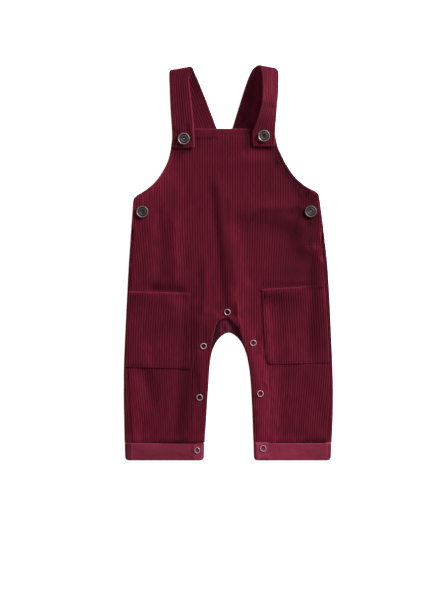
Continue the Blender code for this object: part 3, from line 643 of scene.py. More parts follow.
def facing_cloth():
    """The back's smooth inside, painted dark for its deep shade, with the placket strip's corduroy on it.
    """
    cloth = Finish("crotch_facing")
    crown, number = crown_and_number(cloth)
    weave = cloth.noise(cloth.place((900.0, 500.0, 900.0)), 2.0, 0.6)
    clouds = cloth.noise(cloth.place((130.0, 90.0, 130.0)), 3.0, 0.6)
    uneven = 1.0 + weave * 0.3 + clouds * 0.5
    plain = cloth.scaled(FACING_PAINTED_DARK, uneven)
    strip = cloth.scaled(cloth.mix((crown * CROWN_WIDTH).clip(), TAB_GROOVE, TAB_PILE), uneven)
    colour = cloth.mix(cloth.value("strip"), plain, strip)
    colour = cloth.scaled(colour, 1.0 + cloth.value("nap"))
    return cloth.surface(Base_Color=colour, Roughness=0.95, Normal=cloth.bump(weave, 0.00015, 0.5),
                         Specular_IOR_Level=0.1)


set_value(facing, "strip", on_strip(spots_of(facing)[:, 0]))
paint_light_and_shade(facing, FACING_SHADES)
facing.data.materials.append(facing_cloth())
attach(facing, "root")
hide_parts("crotch_facing")

# ------------------------------------------------------------------------------------ The front
# The front is one piece from the bib to both hems, cut on the fold with its cords upright. Its bib
# and armholes are turned in and topstitched, its side edges button over the back at the hips, and
# its inner leg edges snap over the back. It lies in soft folds over the layers under it.
# Its top edge, and how far its snapped edge stands back from the back's
BIB_TOP = 183.4
INSEAM_STEP = 0.6
# Its armholes, and the lower edge of its crotch, which is cut higher than the back's: x, y
ARMHOLE_LEFT = (
    (-75.8, BIB_TOP), (-78.9, 155.3), (-82.9, 138.9), (-88.2, 128), (-94.9, 117.1), (-104.5, 106.2),
    (-119.2, 95.6), (-124.7, 92.6), (-129, 88.5),
)
ARMHOLE_RIGHT = (
    (62.1, BIB_TOP), (66.6, 160.8), (71.1, 149.9), (76.4, 138.9), (82.9, 128), (90.9, 117.1),
    (103.1, 106.2), (112.8, 100.7), (121, 96.2), (123.7, 91.5),
)
FRONT_CROTCH = (
    (-24.6, -128), (-22.5, -111), (-17.1, -85.7), (-11, -78.3), (-2.9, -75.2), (2.6, -77.6), (6.1, -82.3),
    (13.4, -88.8), (15.6, -95.4), (20.1, -111), (25.9, -128),
)
# Heights of the points along its side edges
SEAM_ROWS = (OPENING_END, 39.0, 34.0, 29.0, SEAM_START, 0.0, -30.0, -70.0, -101.4, -134.0, -167.0,
             -210.0, HEM_RISE_FROM, HEM_RISE_TO, TUCK_FROM, TUCK_TO, LEG_END)
# Height of its inside: in full, on the bib, in the deepest trough, and at least over the crotch
FULL_LIFT = 4.6
BIB_LIFT = 3.5
LEAST_LIFT = 1.9
CROTCH_LIFT = 3.15
CROTCH_ZONE = (-52.0, 52.0, -140.0, -60.0)
# The folds die out from here up the bib, and its dome rises over this distance from the edges
BIB_FLAT_FROM = 130.0
BIB_FLAT_TO = 150.0
DOME_REACH = 15.0
# Strokes of soft folds and creases: half width, height (a trough is negative), then x, y of points
FOLDS = (
    (10, 2.8, -11, 101, -7, 63, -2, 26, 1, -10, 5, -46, 9, -62),
    (5.5, -0.9, -24, 102, -20, 63, -15, 26, -12, -10, -10, -46),
    (11, 1.8, 20, -84, 33, -140, 38, -190, 44, -238),
    (11, -1.6, 66, -60, 70, -100, 74, -140, 72, -190, 72, -238), (7, -1.7, -94, 66, -93, 30, -92, -18),
    (7, 1.5, -75, 62, -73, 20, -72, -20), (5.5, 1.2, -32, 4, -31, -40, -34, -66),
    (8.5, 1.9, -38, -60, -42, -110, -46, -165, -50, -238),
    (9, -2, -61, -50, -63, -120, -70, -165, -72, -238), (8, -1.7, -118, -148, -111, -170, -104, -196),
    (13, 2.7, 26, 68, 60, 66, 84, 60, 98, 44, 104, 24),
    (8.5, -2.1, 112, 8, 113, -40, 112, -80, 110, -128), (6.5, -1.7, -104, -36, -70, -38.5),
    (6.5, 1.1, -126, -49, -80, -52), (8, 1.1, 56, -40, 92, -36), (9, 0.9, 6, 142, 62, 141),
    (7, -1.5, 54, 172, 67, 142, 78, 119, 97, 100, 114, 88),
    (7, -1.2, -68, 150, -78, 124, -92, 104, -112, 88), (7, -1, 120, -185, 121, -222),
    (7, -0.9, -122, -205, -120, -238),
)
CREASES = (
    (3, 0.45, 43, -158, 61, -171), (3, 0.4, 44, -171, 62, -186), (3.2, 0.35, 46, -186, 62, -200),
    (3.5, 0.5, 111, 30, 122, 18, 126, 2), (2.2, -0.7, 9.4, -55, 9.6, -73),
    (2.2, 0.45, 12.2, -56, 12.9, -75, 18.6, -90), (3.5, 0.35, -34, -60, -20, -70),
    (1.9, 0.32, -32, -66.5, -8, -67.5), (1.9, -0.32, -30, -72, -12, -71.2),
    (3, -0.4, -52, -232, -38, -238), (3.5, -0.45, 98, -236, 122, -237),
    (2.4, -0.95, -46, 169.4, -17, 169), (2.4, 0.35, -46, 164.8, -20, 164.6),
    (3, -0.35, -84, -235, -74, -236),
)
# Rows put closer together round a height, and how far from it the even ones stop
CLOSE_ROWS = (-1.3, -0.65, 0.0, 0.65, 1.3)
CLEAR_OF_CLOSE = 1.5
# A seam pulls down the points that lie less than this below the top of the cords
OUTER_PART = (WALL + WALE) * 0.7
# How flat the hems of the bib and armholes are pressed, the most anywhere, what share of its height
# a cord loses by it, and how wide a hem's edge is
BIB_PRESSED = 0.75
ARMHOLE_PRESSED = 0.6
MOST_PRESSED = 0.85
FLATTENED = 0.6
HEM_EDGE = 1.2
# Strokes where the cords lie flatter: half width, share, then x, y of each point
PRESSED = (
    (9, 0.5, -18, -65, -2, -63, 8, -66),
    (6, 0.45, -24, -112, -19.5, -88, -12, -76, -3, -72, 5, -75, 17, -90),
    (9, 0.45, 26, -112, 38, -140, 43, -190, 45, -240), (8, 0.3, -34, -118, -40, -190, -43, -240),
    (24, 0.6, 92, 44, 96, 0, 88, -24), (18, 0.55, -60, -152, -66, -190, -68, -240),
    (10, 0.5, -128, -160, -128, -240), (12, 0.6, -4, 66, -4, 0), (18, 0.48, 60, 62, 100, 70),
    (13, 0.35, -100, -160, -98, -235), (22, 0.42, -98, 76, -96, -20),
)
# Painted strokes of light and shade: shaded and lit slopes, cast shadows and lit edges, and light laid
# over some cast shadows: half width, shade, then x, y
FRONT_LIGHT_AND_SHADE = (
    (9, -0.07, -21, 109, -16, 72, -10, 36, -6, 0, -5, -28, -4, -58),
    (10, 0.22, 1, 46, 12, 8, 19, -28, 19, -56, 26, -84, 40, -112),
    (14, 0.6, 40, -112, 49, -146, 54, -187, 53, -238),
    (13, -0.24, 30, 60, 57, 54, 83, 48, 96, 32, 102, 16), (10, 0.08, 32, 84, 92, 80),
    (9.5, -0.3, 63, 162, 70, 138, 83, 117, 99, 101, 113, 88),
    (13, -0.36, 104, 90, 113, 80, 118, 58, 118, 34), (11, -0.26, 122, 4, 120, -30, 119, -120),
    (3, 0.36, 116, 24, 126, 6), (1.3, 0.3, 107, 21.5, 118, 11, 129, 3), (1.4, 0.4, 126.4, 46, 126.6, 28),
    (1.3, 0.45, 128.8, 8, 130.6, -10, 131.2, -26), (1.3, 0.35, 138.6, -160, 139, -185, 138.2, -215),
    (10, -0.12, 114, -130, 116, -170), (8, 0.3, -79, 150, -84, 132, -96, 112, -116, 92),
    (10, 0.12, -72, 132, -72, 60, -71, -24), (9, 0.1, -106, 66, -104, 20, -103, -8),
    (2.4, 0.6, -128.6, 74, -129.2, 57), (6, -0.16, 25, 84, 33, 70), (6, -0.2, -112, -29, -97, -33),
    (3.5, -0.18, -43.5, -200, -42.5, -214), (4, 0.25, -40, -116, -37.5, -124),
    (5, 0.18, -136.5, -206, -134.5, -236), (8, 0.12, -126, -226, -110, -230),
    (5, 0.28, -58, -232, -50, -240), (4, 0.15, 44, -214, 45, -234), (5, 0.18, 124, -206, 126.5, -226),
    (5.5, -0.36, 44, 71, 84, 71.5, 118, 67), (5.5, -0.36, 93, 72, 98, 42), (20, -0.1, 66, 122, 76, 62),
    (9, -0.16, 98, 76, 114, 56), (5, -0.4, 50, -29, 112, -30), (6, -0.08, -106, -154, -94, -166),
    (9, -0.18, 58, -12, 106, -14), (10, -0.13, 56, 102, 96, 98), (8, -0.08, 54, 122, 70, 120),
    (3.8, -0.34, -1.5, 84, 0, 50, 3, 4, 8, -30), (5, 0.22, 13, 44, 22, 4, 27, -30),
    (5, -0.28, -75, 98, -72.5, 66), (5, 0.13, -93, 84, -80, 40), (5, -0.24, -97, 28, -95, -26),
    (14, 0.24, -126, -176, -124, -236), (4.2, -0.55, -41.5, -152, -39.5, -184),
    (4, 0.28, -44.5, -52, -43, -76), (4.5, 0.55, -14, -71.5, 4, -75), (4.5, -0.18, -30, -54, -27.5, -68),
    (4.5, -0.38, -31.5, -92, -30, -110), (3.5, 0.34, 13, -66, 16, -86, 24.5, -115),
    (4.5, -0.55, 41.5, -103, 41.5, -122), (12, 0.14, 84, -180, 86, -232),
    (4, -0.26, 106, -241, 136, -241), (4, -0.28, -78, 149, -68, 146.5), (6, -0.1, -74, 143, -60, 140),
    (7, -0.07, -6, 140, -4, 106), (11, -0.09, 56, 18, 108, 6), (6, -0.16, 108, 54, 113, 26),
    (4, -0.32, -43, 180, -42, 160), (6.5, -0.08, -85, 44, -84, 10, -83, -20, -80, -36),
    (8, -0.16, 58, 164, 68, 138, 82, 114, 102, 96), (16, 0.16, -104, 92, -84, 108),
    (6.5, -0.34, -98, -34, -64, -37), (8, -0.1, -92, -23, -82, -24), (5, -0.2, -38, -14, -38, -62),
    (6, 0.14, -27, -6, -25, -62), (7, -0.26, -42, -80, -42, -142),
    (9, -0.26, -50, -146, -59, -178, -63, -212, -64, -242), (7, -0.16, -106, -150, -99, -168, -94, -182),
    (9, 0.22, -124, -150, -122, -238), (9, -0.05, -80, -156, -77, -232),
    (1.8, -0.45, -138, -245.4, -35, -245.4), (1.8, -0.45, 36, -245.4, 138, -245.4),
    (3.5, -0.25, -92, -243, -56, -244), (3.5, -0.25, 104, -243.5, 130, -243.5),
    (6, 0.1, 20, 149, 62, 148), (6, -0.14, 16, 136, 64, 136), (2, -0.55, 9.4, -55, 9.6, -73),
    (1.8, 0.4, 12.2, -56, 12.9, -75, 18.6, -90, 23, -101), (2.6, -0.3, 6, -60, 7, -71),
    (4.5, 0.24, -30, -66, -8, -70), (1.3, 0.38, -21.4, -104, -15.8, -85, -9.8, -77, -3.2, -73.6),
    (5, -0.18, 70, 150, 80, 131, 94, 112, 112, 99), (45, -0.12, -30, 150, 30, 120),
    (40, -0.09, 0, 60, 4, 0), (26, -0.16, 90, 50, 92, -10), (9, -0.2, 106, 10, 113, -10, 112, -28),
    (1.1, 0.75, 64.5, 172, 67.2, 159, 71.8, 148.6, 77, 137.8, 83.5, 127),
    (1.3, 0.95, 83.5, 127, 91.5, 116.2, 103.5, 105.4, 113, 99.8, 120.6, 95.4),
    (1.1, 0.6, 123.8, 84, 126.2, 66, 128.4, 48),
    (1.1, 0.45, -77.6, 158, -81.8, 139.5, -87, 128.6, -93.8, 118),
    (1.2, 0.85, -93.8, 118, -103.5, 107.2, -118.4, 96.8, -127, 90),
    (1.1, 0.35, -128.8, 84, -130, 66, -131.6, 50), (0.9, 0.22, -47.8, -236, -47.8, -213.2, -38.8, -212.6),
    (1.8, 0.22, 49.8, -158.6, 58.9, -176.8), (1.8, 0.2, 54.4, -175.2, 69.6, -191.9),
    (1.5, -0.2, 50, -169, 65, -190.4), (1.8, 0.18, 43.8, -202.5, 68, -211.6),
    (2.4, -0.45, 36, 155.6, 60, 155.2), (2.6, -0.45, -74, 152.4, -62, 150.8, -52, 153),
    (1.1, 0.25, -44, 182.6, 30, 182.6), (2.2, -0.4, -46, 168.6, -24, 168.8),
    (5.5, -0.42, 26, 178, 24.5, 160), (1.5, 0.35, 100, -138.6, 134, -138),
)
# The lines it is sewn through, and how deep and how wide they draw it in
BIB_HEM = 174.6
BIB_HEM_LINE = ((-74.0, BIB_HEM - 0.6), (-20.0, BIB_HEM), (30.0, BIB_HEM + 0.3), (62.0, BIB_HEM + 0.5))
ARMHOLE_SEAM_IN = 5.6
LEG_PLACKET_LEFT = ((-44.0, -118.0), (-50.6, -150.0), (-52.2, -200.0), (-51.8, -244.0))
LEG_PLACKET_RIGHT = ((41.0, -118.0), (55.0, -150.0), (57.6, -200.0), (56.0, -244.0))
TACK_RIGHT = (((105.5, 27.8), (123.8, 26.8)), ((105.8, 23.8), (124.4, 22.8)))
SEAM_DEPTH = 0.55
SEAM_HALF = 1.1
# Its grid of points: top, foot and distance of rows, heights where they stand closer, cords each
# side of the middle, and columns on a cord
FRONT_GRID = (186.0, -264.0, 2.7)
FRONT_CLOSE_ROWS = (BIB_TOP - 1.4, BIB_HEM, 169.2, 101.0, 28.0, 24.0, -76.5, -244.0)
FRONT_CORDS = 48
CORD_COLUMNS = (0.0, 0.3, 0.5, 0.7)


def front_side(y, side):
    """x of the front's side edge: free above the side seam, then along it."""
    inward = 1 if side == LEFT else -1
    seam = along(SIDE_SEAM, y, side) + SEAM_GAP
    joined = ease((OPENING_END + SEAM_RUN - y) / SEAM_RUN)
    return along(SIDE_EDGE, y, side) + inward * (seam * joined + tuck(y, LEG_TUCK))


def front_inseam(y, side):
    """x of the front's edge along the snapped inseam, just inside the back's."""
    outward = -1 if side == LEFT else 1
    return inseam(y, side) + outward * (INSEAM_STEP + tuck(y, INSEAM_TUCK))


def front_outline():
    """Outline of the front, from its bib's right corner round to the left one."""
    side_rows = (84.0, 66.0, OPENING_END + SEAM_RUN, *SEAM_ROWS)
    leg_rows = (LEG_END, TUCK_TO, TUCK_FROM, HEM_RISE_FROM, -210.0, -188.0, -167.0, -148.0)
    outline = curve_through(ARMHOLE_RIGHT, 2).tolist()
    outline += [(float(front_side(y, RIGHT)), y) for y in side_rows]
    outline += [(float(front_inseam(y, RIGHT)), y) for y in leg_rows]
    outline += curve_through(FRONT_CROTCH, 2).tolist()[::-1]
    outline += [(float(front_inseam(y, LEFT)), y) for y in reversed(leg_rows)]
    outline += [(float(front_side(y, LEFT)), y) for y in reversed(side_rows)]
    outline += curve_through(ARMHOLE_LEFT, 2).tolist()[::-1]
    return outline


front_edge = front_outline()


def front_inside(x, y):
    """Height of the front's inside above the table: a low dome, with the folds in it."""
    dome = 1 - np.exp(-(path_distance(x, y, front_edge) / DOME_REACH) ** 2)
    edge = along(EDGE_LIFT, y, 1)
    height = edge + (FULL_LIFT - edge) * dome + strokes_at(x, y, FOLDS)
    left, right, low, high = CROTCH_ZONE
    over_crotch = (x > left) & (x < right) & (y > low) & (y < high)
    height = np.maximum(height, np.where(over_crotch, CROTCH_LIFT, LEAST_LIFT))
    flat = ease((y - BIB_FLAT_FROM) / (BIB_FLAT_TO - BIB_FLAT_FROM))
    hem = ease((HEM_RISE_FROM - y) / (HEM_RISE_FROM - HEM_RISE_TO))
    height = height * (1 - flat) + BIB_LIFT * flat
    return height * (1 - hem) + HEM_LIFT * hem + hem_rise(y)


def front_top(x, y):
    """Height of the front's cords."""
    return front_inside(x, y) + WALL + WALE


def pressed_flat(x, y):
    """0 to 1: how far the cords are pressed flat, most in the hems of the bib and armholes."""
    bib = ease((y - BIB_HEM) / HEM_EDGE) * BIB_PRESSED
    from_armhole = np.minimum(path_distance(x, y, armhole_left), path_distance(x, y, armhole_right))
    hems = np.maximum(bib, ease((ARMHOLE_SEAM_IN - from_armhole) / HEM_EDGE) * ARMHOLE_PRESSED)
    return np.clip(np.maximum(hems, strokes_at(x, y, PRESSED)), 0.0, MOST_PRESSED)


def front_surface(x, y):
    """Height of the front's outer side, cords, creases and all."""
    cords = WALE * (1 - FLATTENED * pressed_flat(x, y)) * (cord_height(wale_number(x, y)) - 1)
    return front_top(x, y) + strokes_at(x, y, CREASES) + cords


def seam_lines(piece, lines, depth, half_width, surface):
    """Draw a piece's outer surface down along the lines where it is sewn through."""
    points = spots_of(piece)
    x, y, z = points.T
    for path in lines:
        pull = np.exp(-(path_distance(x, y, path) / half_width) ** 2)
        points[:, 2] -= depth * pull * (z > surface(x, y) - OUTER_PART)
    move_spots(piece, points)


def offset_path(path, distance):
    """A path moved sideways, to its left where the distance is positive."""
    spots = np.array(path, dtype=float)
    run = np.gradient(spots, axis=0)
    run /= np.maximum(np.hypot(run[:, 0], run[:, 1]), 1e-9)[:, None]
    return spots + distance * np.column_stack((-run[:, 1], run[:, 0]))


def heights_between(top, foot, step, close):
    """Heights of rows, closer together round the given ones."""
    rows = list(np.arange(top, foot, -step)) + [foot]
    for height in close:
        rows = [y for y in rows if abs(y - height) > CLEAR_OF_CLOSE]
        rows += [height + shift for shift in CLOSE_ROWS]
    return rows


front_columns = [k + part for k in range(-FRONT_CORDS, FRONT_CORDS) for part in CORD_COLUMNS]
front_columns.append(FRONT_CORDS)
armhole_left = curve_through(ARMHOLE_LEFT, 4)
armhole_right = curve_through(ARMHOLE_RIGHT, 4)
# The armholes' seams stop short of the bib's corners and of the side openings
armhole_left_seam = offset_path(armhole_left, ARMHOLE_SEAM_IN)[2:-3]
armhole_right_seam = offset_path(armhole_right, -ARMHOLE_SEAM_IN)[2:-3]
front_seams = [BIB_HEM_LINE, armhole_left_seam, armhole_right_seam, LEG_PLACKET_LEFT, LEG_PLACKET_RIGHT,
               *TACK_RIGHT]
front_rows = heights_between(*FRONT_GRID, FRONT_CLOSE_ROWS)
front = cut_panel("front_cloth", front_edge, front_rows, front_inside, front_surface, front_columns)
seam_lines(front, front_seams, SEAM_DEPTH, SEAM_HALF, front_top)
paint_light_and_shade(front, FRONT_LIGHT_AND_SHADE)
front_spots = spots_of(front)
set_value(front, "pressed", pressed_flat(front_spots[:, 0], front_spots[:, 1]))
front.data.materials.append(outside_cloth)
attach(front, "root")
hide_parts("front")

# Its topstitching: length of a stitch, the gap to the next, the thread, and how deep it sinks
STITCH = 2.5
STITCH_GAP = 0.7
THREAD = 0.42
THREAD_SIDES = 6
SUNK_THREAD = 0.35
# Along one stitch: place, share of the full thickness, how deep it dips into the cloth
STITCH_SHAPE = ((-0.5, 0.5, 0.9), (-0.34, 0.95, 0.25), (0.0, 1.0, 0.0), (0.34, 0.95, 0.25),
                (0.5, 0.5, 0.9))
THREAD_COLOUR = (0.118, 0.0125, 0.0300, 1.0)


def sewing_thread():
    """Burgundy sewing thread, a little brighter than the pile and with a faint twist."""
    thread = Finish("burgundy_thread")
    twist = thread.noise(thread.place((2600.0, 2600.0, 2600.0)), 1.0)
    clouds = thread.noise(thread.place((90.0, 90.0, 90.0)), 2.0)
    colour = thread.scaled(THREAD_COLOUR, 1.0 + twist * 0.35 + clouds * 0.4)
    return thread.surface(Base_Color=colour, Roughness=0.6, Specular_IOR_Level=0.3,
                          Normal=thread.bump(twist, 0.0001, 0.5))


def stitch_points(centre, run, across, up):
    """Rings of points round one stitch, a bead of thread that dips in at its ends."""
    points = []
    for place, share, dip in STITCH_SHAPE:
        for step in range(THREAD_SIDES):
            angle = math.tau * step / THREAD_SIDES
            side = across * math.cos(angle) + up * math.sin(angle)
            points.append(centre + run * place + side * share * THREAD / 2 - up * dip * THREAD)
    return points


def stitch_faces(first):
    """Faces of one stitch, whose points are numbered from the first one given."""
    faces = []
    rings = len(STITCH_SHAPE)
    for ring in range(rings - 1):
        for step in range(THREAD_SIDES):
            a = first + ring * THREAD_SIDES + step
            b = first + ring * THREAD_SIDES + (step + 1) % THREAD_SIDES
            faces.append([a, b, b + THREAD_SIDES, a + THREAD_SIDES])
    faces.append([first + step for step in range(THREAD_SIDES)][::-1])
    faces.append([first + (rings - 1) * THREAD_SIDES + step for step in range(THREAD_SIDES)])
    return faces


burgundy_thread = sewing_thread()


def sew(name, lines, surface, sunk):
    """Topstitching along lines on the cloth, sunk into its pile."""
    points = []
    faces = []
    for line in lines:
        line = np.array(line, dtype=float)
        lengths = np.hypot(*np.diff(line, axis=0).T)
        travelled = np.concatenate(([0.0], np.cumsum(lengths)))
        count = max(int(travelled[-1] / (STITCH + STITCH_GAP)), 1)
        middles = (np.arange(count)[:, None] + 0.5) * travelled[-1] / count
        ends = middles + np.array([-0.5, 0.5]) * STITCH
        x = np.interp(ends, travelled, line[:, 0])
        y = np.interp(ends, travelled, line[:, 1])
        stitches = np.stack((x, y, surface(x, y) - sunk), axis=-1)
        centre = stitches.mean(axis=1)
        run = stitches[:, 1] - stitches[:, 0]
        across = np.cross(run, (0.0, 0.0, 1.0))
        across /= np.linalg.norm(across, axis=1)[:, None]
        up = np.cross(across, run)
        up /= np.linalg.norm(up, axis=1)[:, None]
        for i in range(count):
            faces += stitch_faces(len(points))
            points += stitch_points(centre[i], run[i], across[i], up[i])
    thread = new_piece(name, np.array(points), faces)
    thread.data.materials.append(burgundy_thread)
    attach(thread, "root")


sew("stitching_front", front_seams, front_top, SUNK_THREAD)

# ---------------------------------------------------------------------------------- The pockets
# Two square patch pockets in the same corduroy lie on the thighs, their mouths hemmed and their
# sides and feet turned in and topstitched. Their outer edges are caught in the side seams, and
# their cords lean a little, as they were sewn on.

# How far from the side seam the right one is caught, and from the fold the left one laps over it
POCKET_SEAM_GAP = 0.6
POCKET_LAP_EDGE = 1.5
POCKET_SEAM_ROWS = (-55.0, -80.0, -110.0)
# Name, side, heights of the mouth and foot at the outer edge, free edge from the mouth down, radius
# of its corner, how flat its cords lie, how far they lean, first and last cord
POCKETS = (
    ("pocket_left", LEFT, -38.6, -142.2, ((-52.6, -41.0), (-50.8, -144.8)), 3.0,
     0.15, 0.045, -46, -13),
    ("pocket_right", RIGHT, -30.2, -136.5,
     ((44.6, -36.0), (46.8, -55.0), (47.7, -76.2), (49.5, -106.5), (50.8, -125.0), (53.9, -138.4)), 4.5,
     0.35, -0.05, 10, 46),
)
POCKET_LEAN_FROM = -90.0
# Their walls thin out at the edges over a distance and by a share, and their grid's top, foot, rows
POCKET_THIN = (3.4, 0.56)
POCKET_GRID = (-26.0, -150.0, 2.2)
# How far in they are sewn: at the free side, the foot, the outer edge and the corner; how deep and
# wide that draws them in, and how deep the thread lies
SIDE_STITCH_IN = 2.2
FOOT_STITCH_IN = 2.0
OUTER_STITCH_IN = 3.0
CORNER_STITCH = (1.2, 2.4)
POCKET_SEAM_DEPTH = 0.35
POCKET_SEAM_HALF = 0.9
POCKET_SUNK_THREAD = 0.45
# Painted strokes of light and shade on both, as on the front
POCKET_LIGHT_AND_SHADE = (
    (26, 0.12, -96, -60, -96, -130), (13, -0.22, -132, -58, -112, -76, -98, -92),
    (8, 0.16, -84, -50, -62, -54), (9, -0.08, -66, -82, -68, -108), (8, 0.22, -112, -112, -106, -138),
    (10, -0.3, 56, -47, 94, -53), (5, 0.34, 52, -66, 57, -100, 62, -132), (10, 0.1, 80, -84, 86, -128),
    (12.5, -0.31, 118, -34, 120, -80, 122, -112), (4, -0.1, 132, -54, 135, -124),
    (4.5, -0.3, -128, -46, -70, -46.5), (12, -0.24, -86, -58, -72, -92),
    (10, 0.16, -124, -66, -113, -140), (4, 0.4, 53.5, -104, 57, -132), (9, 0.28, 79, -108, 88, -126),
    (3, 0.18, 72, -136, 98, -135.6), (1, 0.36, -136, -39.6, -54, -41.9), (1, 0.28, 100, -33.4, 45, -37),
    (3, -0.34, 131, -32, 104, -34), (1.5, -0.5, -53, -46, -51.4, -142), (4.5, -0.14, -57, -88, -56, -112),
    (1.2, 0.2, 48.2, -58, 49, -76, 50.8, -106, 52.2, -124), (1, 0.55, 130.8, -31, 132, -62),
    (1, 0.4, 134.4, -72, 135.2, -90), (0.9, 0.4, -128, -141.4, -75, -143.2),
    (0.9, 0.45, 58, -137.2, 101, -136.6), (30, -0.07, 90, -50, 92, -130),
    (1.1, -0.28, 50.5, -41, 50, -50), (1.1, -0.22, 46, -46.5, 60, -46),
)


def rounded_corner(before, corner, after, radius):
    """Points of a small arc in place of a corner."""
    corner = np.array(corner)
    start = corner + (np.array(before) - corner) / np.linalg.norm(np.array(before) - corner) * radius
    end = corner + (np.array(after) - corner) / np.linalg.norm(np.array(after) - corner) * radius
    return [((1 - t) ** 2 * start + 2 * t * (1 - t) * corner + t * t * end).tolist()
            for t in (0.0, 0.33, 0.67, 1.0)]


def pocket_inside(x, y):
    """The pockets lie on the front, a little above its cords."""
    return front_top(x, y) + SEAM_GAP


def pocket_pile(x, y):
    """Height of the pockets' cords."""
    return pocket_inside(x, y) + WALL + WALE


for name, side, mouth, foot, free, radius, flatness, lean, first_cord, last_cord in POCKETS:
    inward = 1 if side == LEFT else -1
    seam_rows = (mouth, *POCKET_SEAM_ROWS, foot)
    if side == LEFT:
        outer = [(float(along(SIDE_EDGE, y, LEFT)) + POCKET_LAP_EDGE, y) for y in seam_rows]
    else:
        outer = [(float(front_side(y, RIGHT)) - POCKET_SEAM_GAP, y) for y in seam_rows]
    inner = list(free[:-1]) + rounded_corner(free[-2], free[-1], outer[-1], radius)
    # Its rows stand closer just inside the mouth and the foot
    columns = [k + part for k in range(first_cord, last_cord) for part in CORD_COLUMNS] + [last_cord]
    rows = heights_between(*POCKET_GRID, (mouth - 0.6, free[0][1] - 0.8, foot + 0.8, free[-1][1] + 0.8))

    def pocket_top(x, y):
        """Height of the pocket's outer side, cords and all."""
        cords = WALE * cord_height(wale_number(x, y, lean, POCKET_LEAN_FROM))
        return pocket_inside(x, y) + WALL + cords

    pocket = cut_panel(name + "_cloth", inner + outer[::-1], rows, pocket_inside, pocket_top, columns,
                       lean, POCKET_LEAN_FROM, POCKET_THIN)
    # The side's stitching goes down to the corner and turns in a little there
    foot_line = [np.array(inner[-1]) + (0.0, FOOT_STITCH_IN),
                 np.array(outer[-1]) + (inward * OUTER_STITCH_IN, FOOT_STITCH_IN)]
    side_line = [np.array(spot) - (inward * SIDE_STITCH_IN, 0.0) for spot in inner[:-3]]
    side_line.append(np.array(inner[-3]) + (-inward * CORNER_STITCH[0], CORNER_STITCH[1]))
    seam_lines(pocket, [side_line, foot_line], POCKET_SEAM_DEPTH, POCKET_SEAM_HALF, pocket_pile)
    paint_light_and_shade(pocket, POCKET_LIGHT_AND_SHADE)
    set_value(pocket, "pressed", np.full(len(pocket.data.vertices), flatness))
    pocket.data.materials.append(outside_cloth)
    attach(pocket, "root")
    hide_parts(name)
    sew("stitching_" + name, [side_line, foot_line], pocket_pile, POCKET_SUNK_THREAD)

# ----------------------------------------------------------------------------------- The straps
# Each strap is a long band of corduroy folded double and turned in, with nine cords along it. It
# is sewn to the back's top edge, bends over at the shoulder and buttons to the bib. The right one
# stands up on its inner edge near the shoulder, so that one looks into its fold.

# Half its thickness, the depth of its grooves, its cords, and the columns of points across it
STRAP_HALF = 1.5
STRAP_GROOVE = 0.55
STRAP_WALES = 9
STRAP_COLUMNS = 6 * STRAP_WALES
# How wide its edges round over, how thin they get at the sides and the end, and its end's corners
STRAP_ROUND = 1.6
SIDE_ROUNDING = 0.97
END_ROUNDING = 0.9
STRAP_CORNER = 4.0
# Its rows of points: how far apart, and how near the bend and the end they stand closer
STRAP_STEP = 1.4
BEND_RUN = 8.0
BEND_ROWS = 49
END_RUN = 5.0
END_ROWS = 12
# Stations from the back's top edge to the bib: left edge x, y, z, right edge x, y, z. The left
# strap's bend is given by its axis, left end and right end, and its radius at each
STRAP_LEFT_BACK = (
    (-37.6, 152.4, 1.5, -5.1, 152.4, 1.5), (-45, 171.5, 1.5, -15.7, 182.6, 1.5),
    (-61, 211.4, 1.5, -29.9, 220.5, 1.5), (-74, 244, 1.5, -42, 250.5, 1.5),
)
STRAP_LEFT_BEND = (-81.0, 259.0, 4.5, -48.2, 264.5, 4.5, 3.0, 3.0)
STRAP_LEFT_FRONT = (
    (-80.9, 250, 7.4, -53.6, 251.5, 7.4), (-80.5, 240, 7.3, -53, 240, 7.3),
    (-79.6, 215, 6.8, -50, 215, 6.8), (-77.8, 188, 7.2, -47.4, 188, 7.2),
    (-77.2, 178, 7.2, -46.8, 178, 7.2), (-77.1, 156.5, 7.2, -45.6, 156.5, 7.2),
)
STRAP_RIGHT = (
    (-4.1, 152.4, 1.5, 27.4, 152.4, 1.5), (4.9, 182.6, 1.5, 34.4, 172.7, 1.5),
    (15.1, 216, 2.2, 45.8, 206, 1.5), (24.9, 246, 7.6, 55.2, 236, 1.7), (29.5, 257.8, 11, 62.2, 252, 1.9),
    (33.1, 263.6, 13.6, 67, 260.6, 2), (37, 266.7, 15.8, 68.3, 263.4, 3.4), (41, 267.7, 18, 68.6, 264, 5),
    (43.6, 265, 20.2, 68.5, 262.9, 6.6), (45, 259, 22.4, 68.3, 258.5, 7.6),
    (45.9, 249, 24, 68.1, 247.4, 6.7), (46.3, 234, 24.6, 67.6, 231.8, 5),
    (45.2, 217, 23.6, 66.1, 215, 4.8), (40.6, 200, 18, 65.2, 199, 6), (35, 186, 11, 64.2, 188, 7.3),
    (32.2, 175, 7.3, 63.5, 175, 7.2), (32.8, 158.8, 7.2, 63.2, 158.2, 7.2),
)
# Which of those is on the bend, and how many steps go round a flat bend
STRAP_RIGHT_APEX = 7
BEND_STEPS = 8
